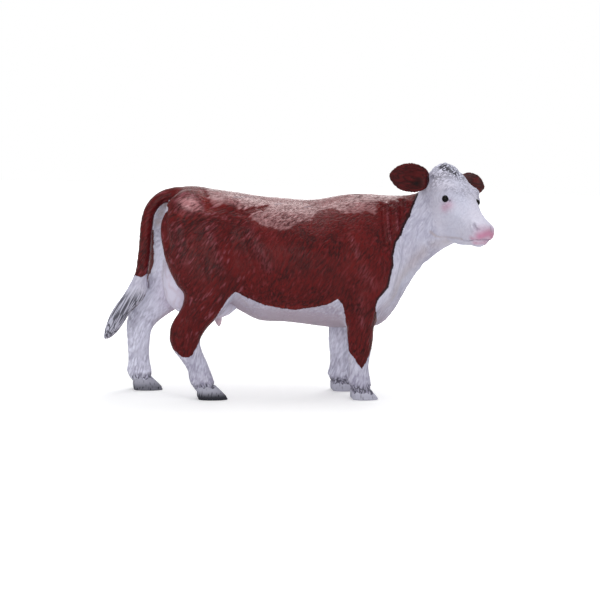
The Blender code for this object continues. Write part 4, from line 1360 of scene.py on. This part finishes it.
# Udder with its teats
udderLooks = {
    "cell": 0.34,
    "swell": 0.30,
    "rounds": 3,
    "colour": (0.660, 0.620, 0.750),
    "tip": (0.620, 0.430, 0.480),
    "groove": (0.420, 0.300, 0.360),
    "roughness": 0.42,
    "teatTop": 28.5,
}


def udderMesh():
    fine = fineCopy("udder", udderLooks)
    points = figurePoints(pointsOf(fine))
    normals = normalsOf(fine)
    wrinkles = grooves(gradientNoise(points / np.array([2.2, 2.2, 4.0]), 97), 0.12) * 0.08
    rise = udderLooks["swell"] - wrinkles
    movePoints(fine, (points + rise[:, None] * normals) * mm + np.array(middle))
    setFact(fine, "cavity", wrinkles)
    setFact(fine, "teat", smoothStep(udderLooks["teatTop"] - points[:, 2], 0, 4))
    fine.shade_smooth()
    return fine


def udderPaint():
    material, tree, surface = newPaint("udderPaint")
    mottle = useGroup(tree, mottleTree, Scale=300.0)
    wash = useGroup(tree, washTree, Cavity=readFact(tree, "cavity"), Full_at=0.20, Patchiness=0.4)
    colour = mixColours(tree, readFact(tree, "teat"), udderLooks["colour"], udderLooks["tip"])
    colour = mixColours(tree, times(tree, mottle.outputs["Broad"], 0.25), colour, paints["white"])
    colour = mixColours(tree, wash.outputs["Mask"], colour, udderLooks["groove"])
    uneven = timesPlus(tree, mottle.outputs["Speckle"], 0.08, udderLooks["roughness"])
    dress(tree, surface, Base_Color=colour, Roughness=uneven)
    return material


addPiece("cowUdder", udderMesh(), udderPaint(), "udder")
print("udder made")

# Eyes: glossy black domes in the lids
eyeLooks = {
    "colour": (0.0018, 0.0016, 0.0018),
    "iris": (0.0060, 0.0040, 0.0040),
    "roughness": 0.12,
    "shine": 0.09,
    "radius": 1.15,
    "sink": 0.46,
    "segments": 40,
    "rings": 20,
}


def eyePaint():
    material, tree, surface = newPaint("eyePaint")
    coordinates = ownPlace(tree)
    depth = remap(tree, noiseAt(tree, coordinates, 700.0, 2.0), 0.4, 0.6)
    colour = mixColours(tree, depth, eyeLooks["colour"], eyeLooks["iris"])
    dress(tree, surface, Base_Color=colour, Roughness=eyeLooks["roughness"], Specular_IOR_Level=eyeLooks["shine"])
    return material


def eyeSpot(pixel):  # on the skin, a little under its surface
    hit, normal, _, _ = skinTree.ray_cast(cameraPlace(), photoRay(*pixel))
    return Vector((hit - middle) / mm) - normal * eyeLooks["sink"]


def eyeMesh(spot):
    shaped = bmesh.new()
    bmesh.ops.create_uvsphere(
        shaped, u_segments=eyeLooks["segments"], v_segments=eyeLooks["rings"], radius=eyeLooks["radius"] * mm,
    )
    turn = headFrame().to_3x3().to_4x4() @ Matrix.Diagonal((1.0, 1.0, 1.04, 1))
    bmesh.ops.transform(shaped, matrix=Matrix.Translation(middle + spot * mm) @ turn, verts=shaped.verts)
    mesh = bpy.data.meshes.new("eye")
    shaped.to_mesh(mesh)
    shaped.free()
    mesh.shade_smooth()
    return mesh


eyeMaterial = eyePaint()
for name, pixel in (("eyeRight", headPose["eyePixel"]), ("eyeLeft", headPose["farEyePixel"])):
    addPiece(name, eyeMesh(eyeSpot(pixel)), eyeMaterial, "head")
print("eyes set")

# Floor, background and light, in metres
studio = {
    "floorRadius": 1.6,
    "floorSides": 96,
    "floorColour": (0.80, 0.80, 0.80),
    "lift": 0.30,
    "liftFar": 1.0,
    "shadowReach": (0.10, 0.26),
    "fill": 0.47,
    "fillColour": (0.95, 0.97, 1.0),
    "aim": (0, 0, 0.04),
    "lamps": {
        "overheadSoftbox": ((0.08, 0.13, 0.50), (0.20, 0.62), 1.50),
        "keySoftbox": ((0.10, -0.25, 0.52), (0.20, 0.20), 0.32),
        "frontSoftbox": ((-0.22, -0.63, 0.20), (0.45, 0.36), 1.60),
        "sideSoftbox": ((0.70, -0.30, 0.30), (0.35, 0.35), 0.32),
        "rearSoftbox": ((0.00, 0.62, 0.27), (0.60, 0.26), 0.50),
    },
}


def seenRays(tree):  # the camera's own rays and those in reflections or through glass
    path = addNode(tree, "ShaderNodeLightPath")
    seen = calculate(tree, "MAXIMUM", path.outputs["Is Camera Ray"], path.outputs["Is Glossy Ray"])
    return calculate(tree, "MAXIMUM", seen, path.outputs["Is Transmission Ray"])


def addFloor():
    count = studio["floorSides"]
    rings = (0.1, 0.2, 0.4, 0.8, studio["floorRadius"])
    points = [(0, 0, 0)]
    for radius in rings:
        for k in range(count):
            turn = 2 * math.pi * k / count
            points.append((radius * math.cos(turn), radius * math.sin(turn), 0))
    faces = [(0, 1 + k, 1 + (k + 1) % count) for k in range(count)]
    for ring in range(len(rings) - 1):
        near, far = 1 + ring * count, 1 + (ring + 1) * count
        for k in range(count):
            after = (k + 1) % count
            faces.append((near + k, far + k, far + after, near + after))
    mesh = meshFrom(points, faces, "floor")
    material, tree, surface = newPaint("paleFloor")
    coordinates = ownPlace(tree)
    grain = remap(tree, noiseAt(tree, coordinates, 900.0, 3.0), 0.3, 0.7)
    paler = tuple(part * 1.02 for part in studio["floorColour"])
    colour = mixColours(tree, grain, studio["floorColour"], paler)
    dress(tree, surface, Base_Color=colour, Roughness=0.9, Specular_IOR_Level=0.1)
    away = addNode(tree, "ShaderNodeVectorMath", operation="LENGTH")
    tree.links.new(coordinates, away.inputs[0])
    near, far = studio["shadowReach"]
    lift = remap(tree, away.outputs["Value"], near, far, studio["lift"], studio["liftFar"])
    dress(tree, surface, Emission_Color=(1, 1, 1), Emission_Strength=times(tree, lift, seenRays(tree)))
    mesh.materials.append(material)
    floor = bpy.data.objects.new("floor", mesh)
    bpy.context.scene.collection.objects.link(floor)


def addLamp(name, place, size, power):
    data = bpy.data.lights.new(name, "AREA")
    data.shape = "RECTANGLE"
    data.size, data.size_y = size
    data.energy = power
    lamp = bpy.data.objects.new(name, data)
    bpy.context.scene.collection.objects.link(lamp)
    lamp.location = place
    aim = Vector(studio["aim"]) - Vector(place)
    lamp.rotation_euler = aim.to_track_quat("-Z", "Y").to_euler()


def addWorld():
    world = bpy.data.worlds.new("studioLight")
    bpy.context.scene.world = world
    world.use_nodes = True
    tree = world.node_tree
    background = tree.nodes["Background"]
    seen = seenRays(tree)
    tree.links.new(mixColours(tree, seen, studio["fillColour"], (1.0, 1.0, 1.0)), background.inputs["Color"])
    tree.links.new(mixNumbers(tree, seen, studio["fill"], 1.0), background.inputs["Strength"])


addFloor()
for name, (place, size, power) in studio["lamps"].items():
    addLamp(name, place, size, power)
addWorld()
bpy.context.scene.view_settings.view_transform = "Standard"
print("floor and lights placed")
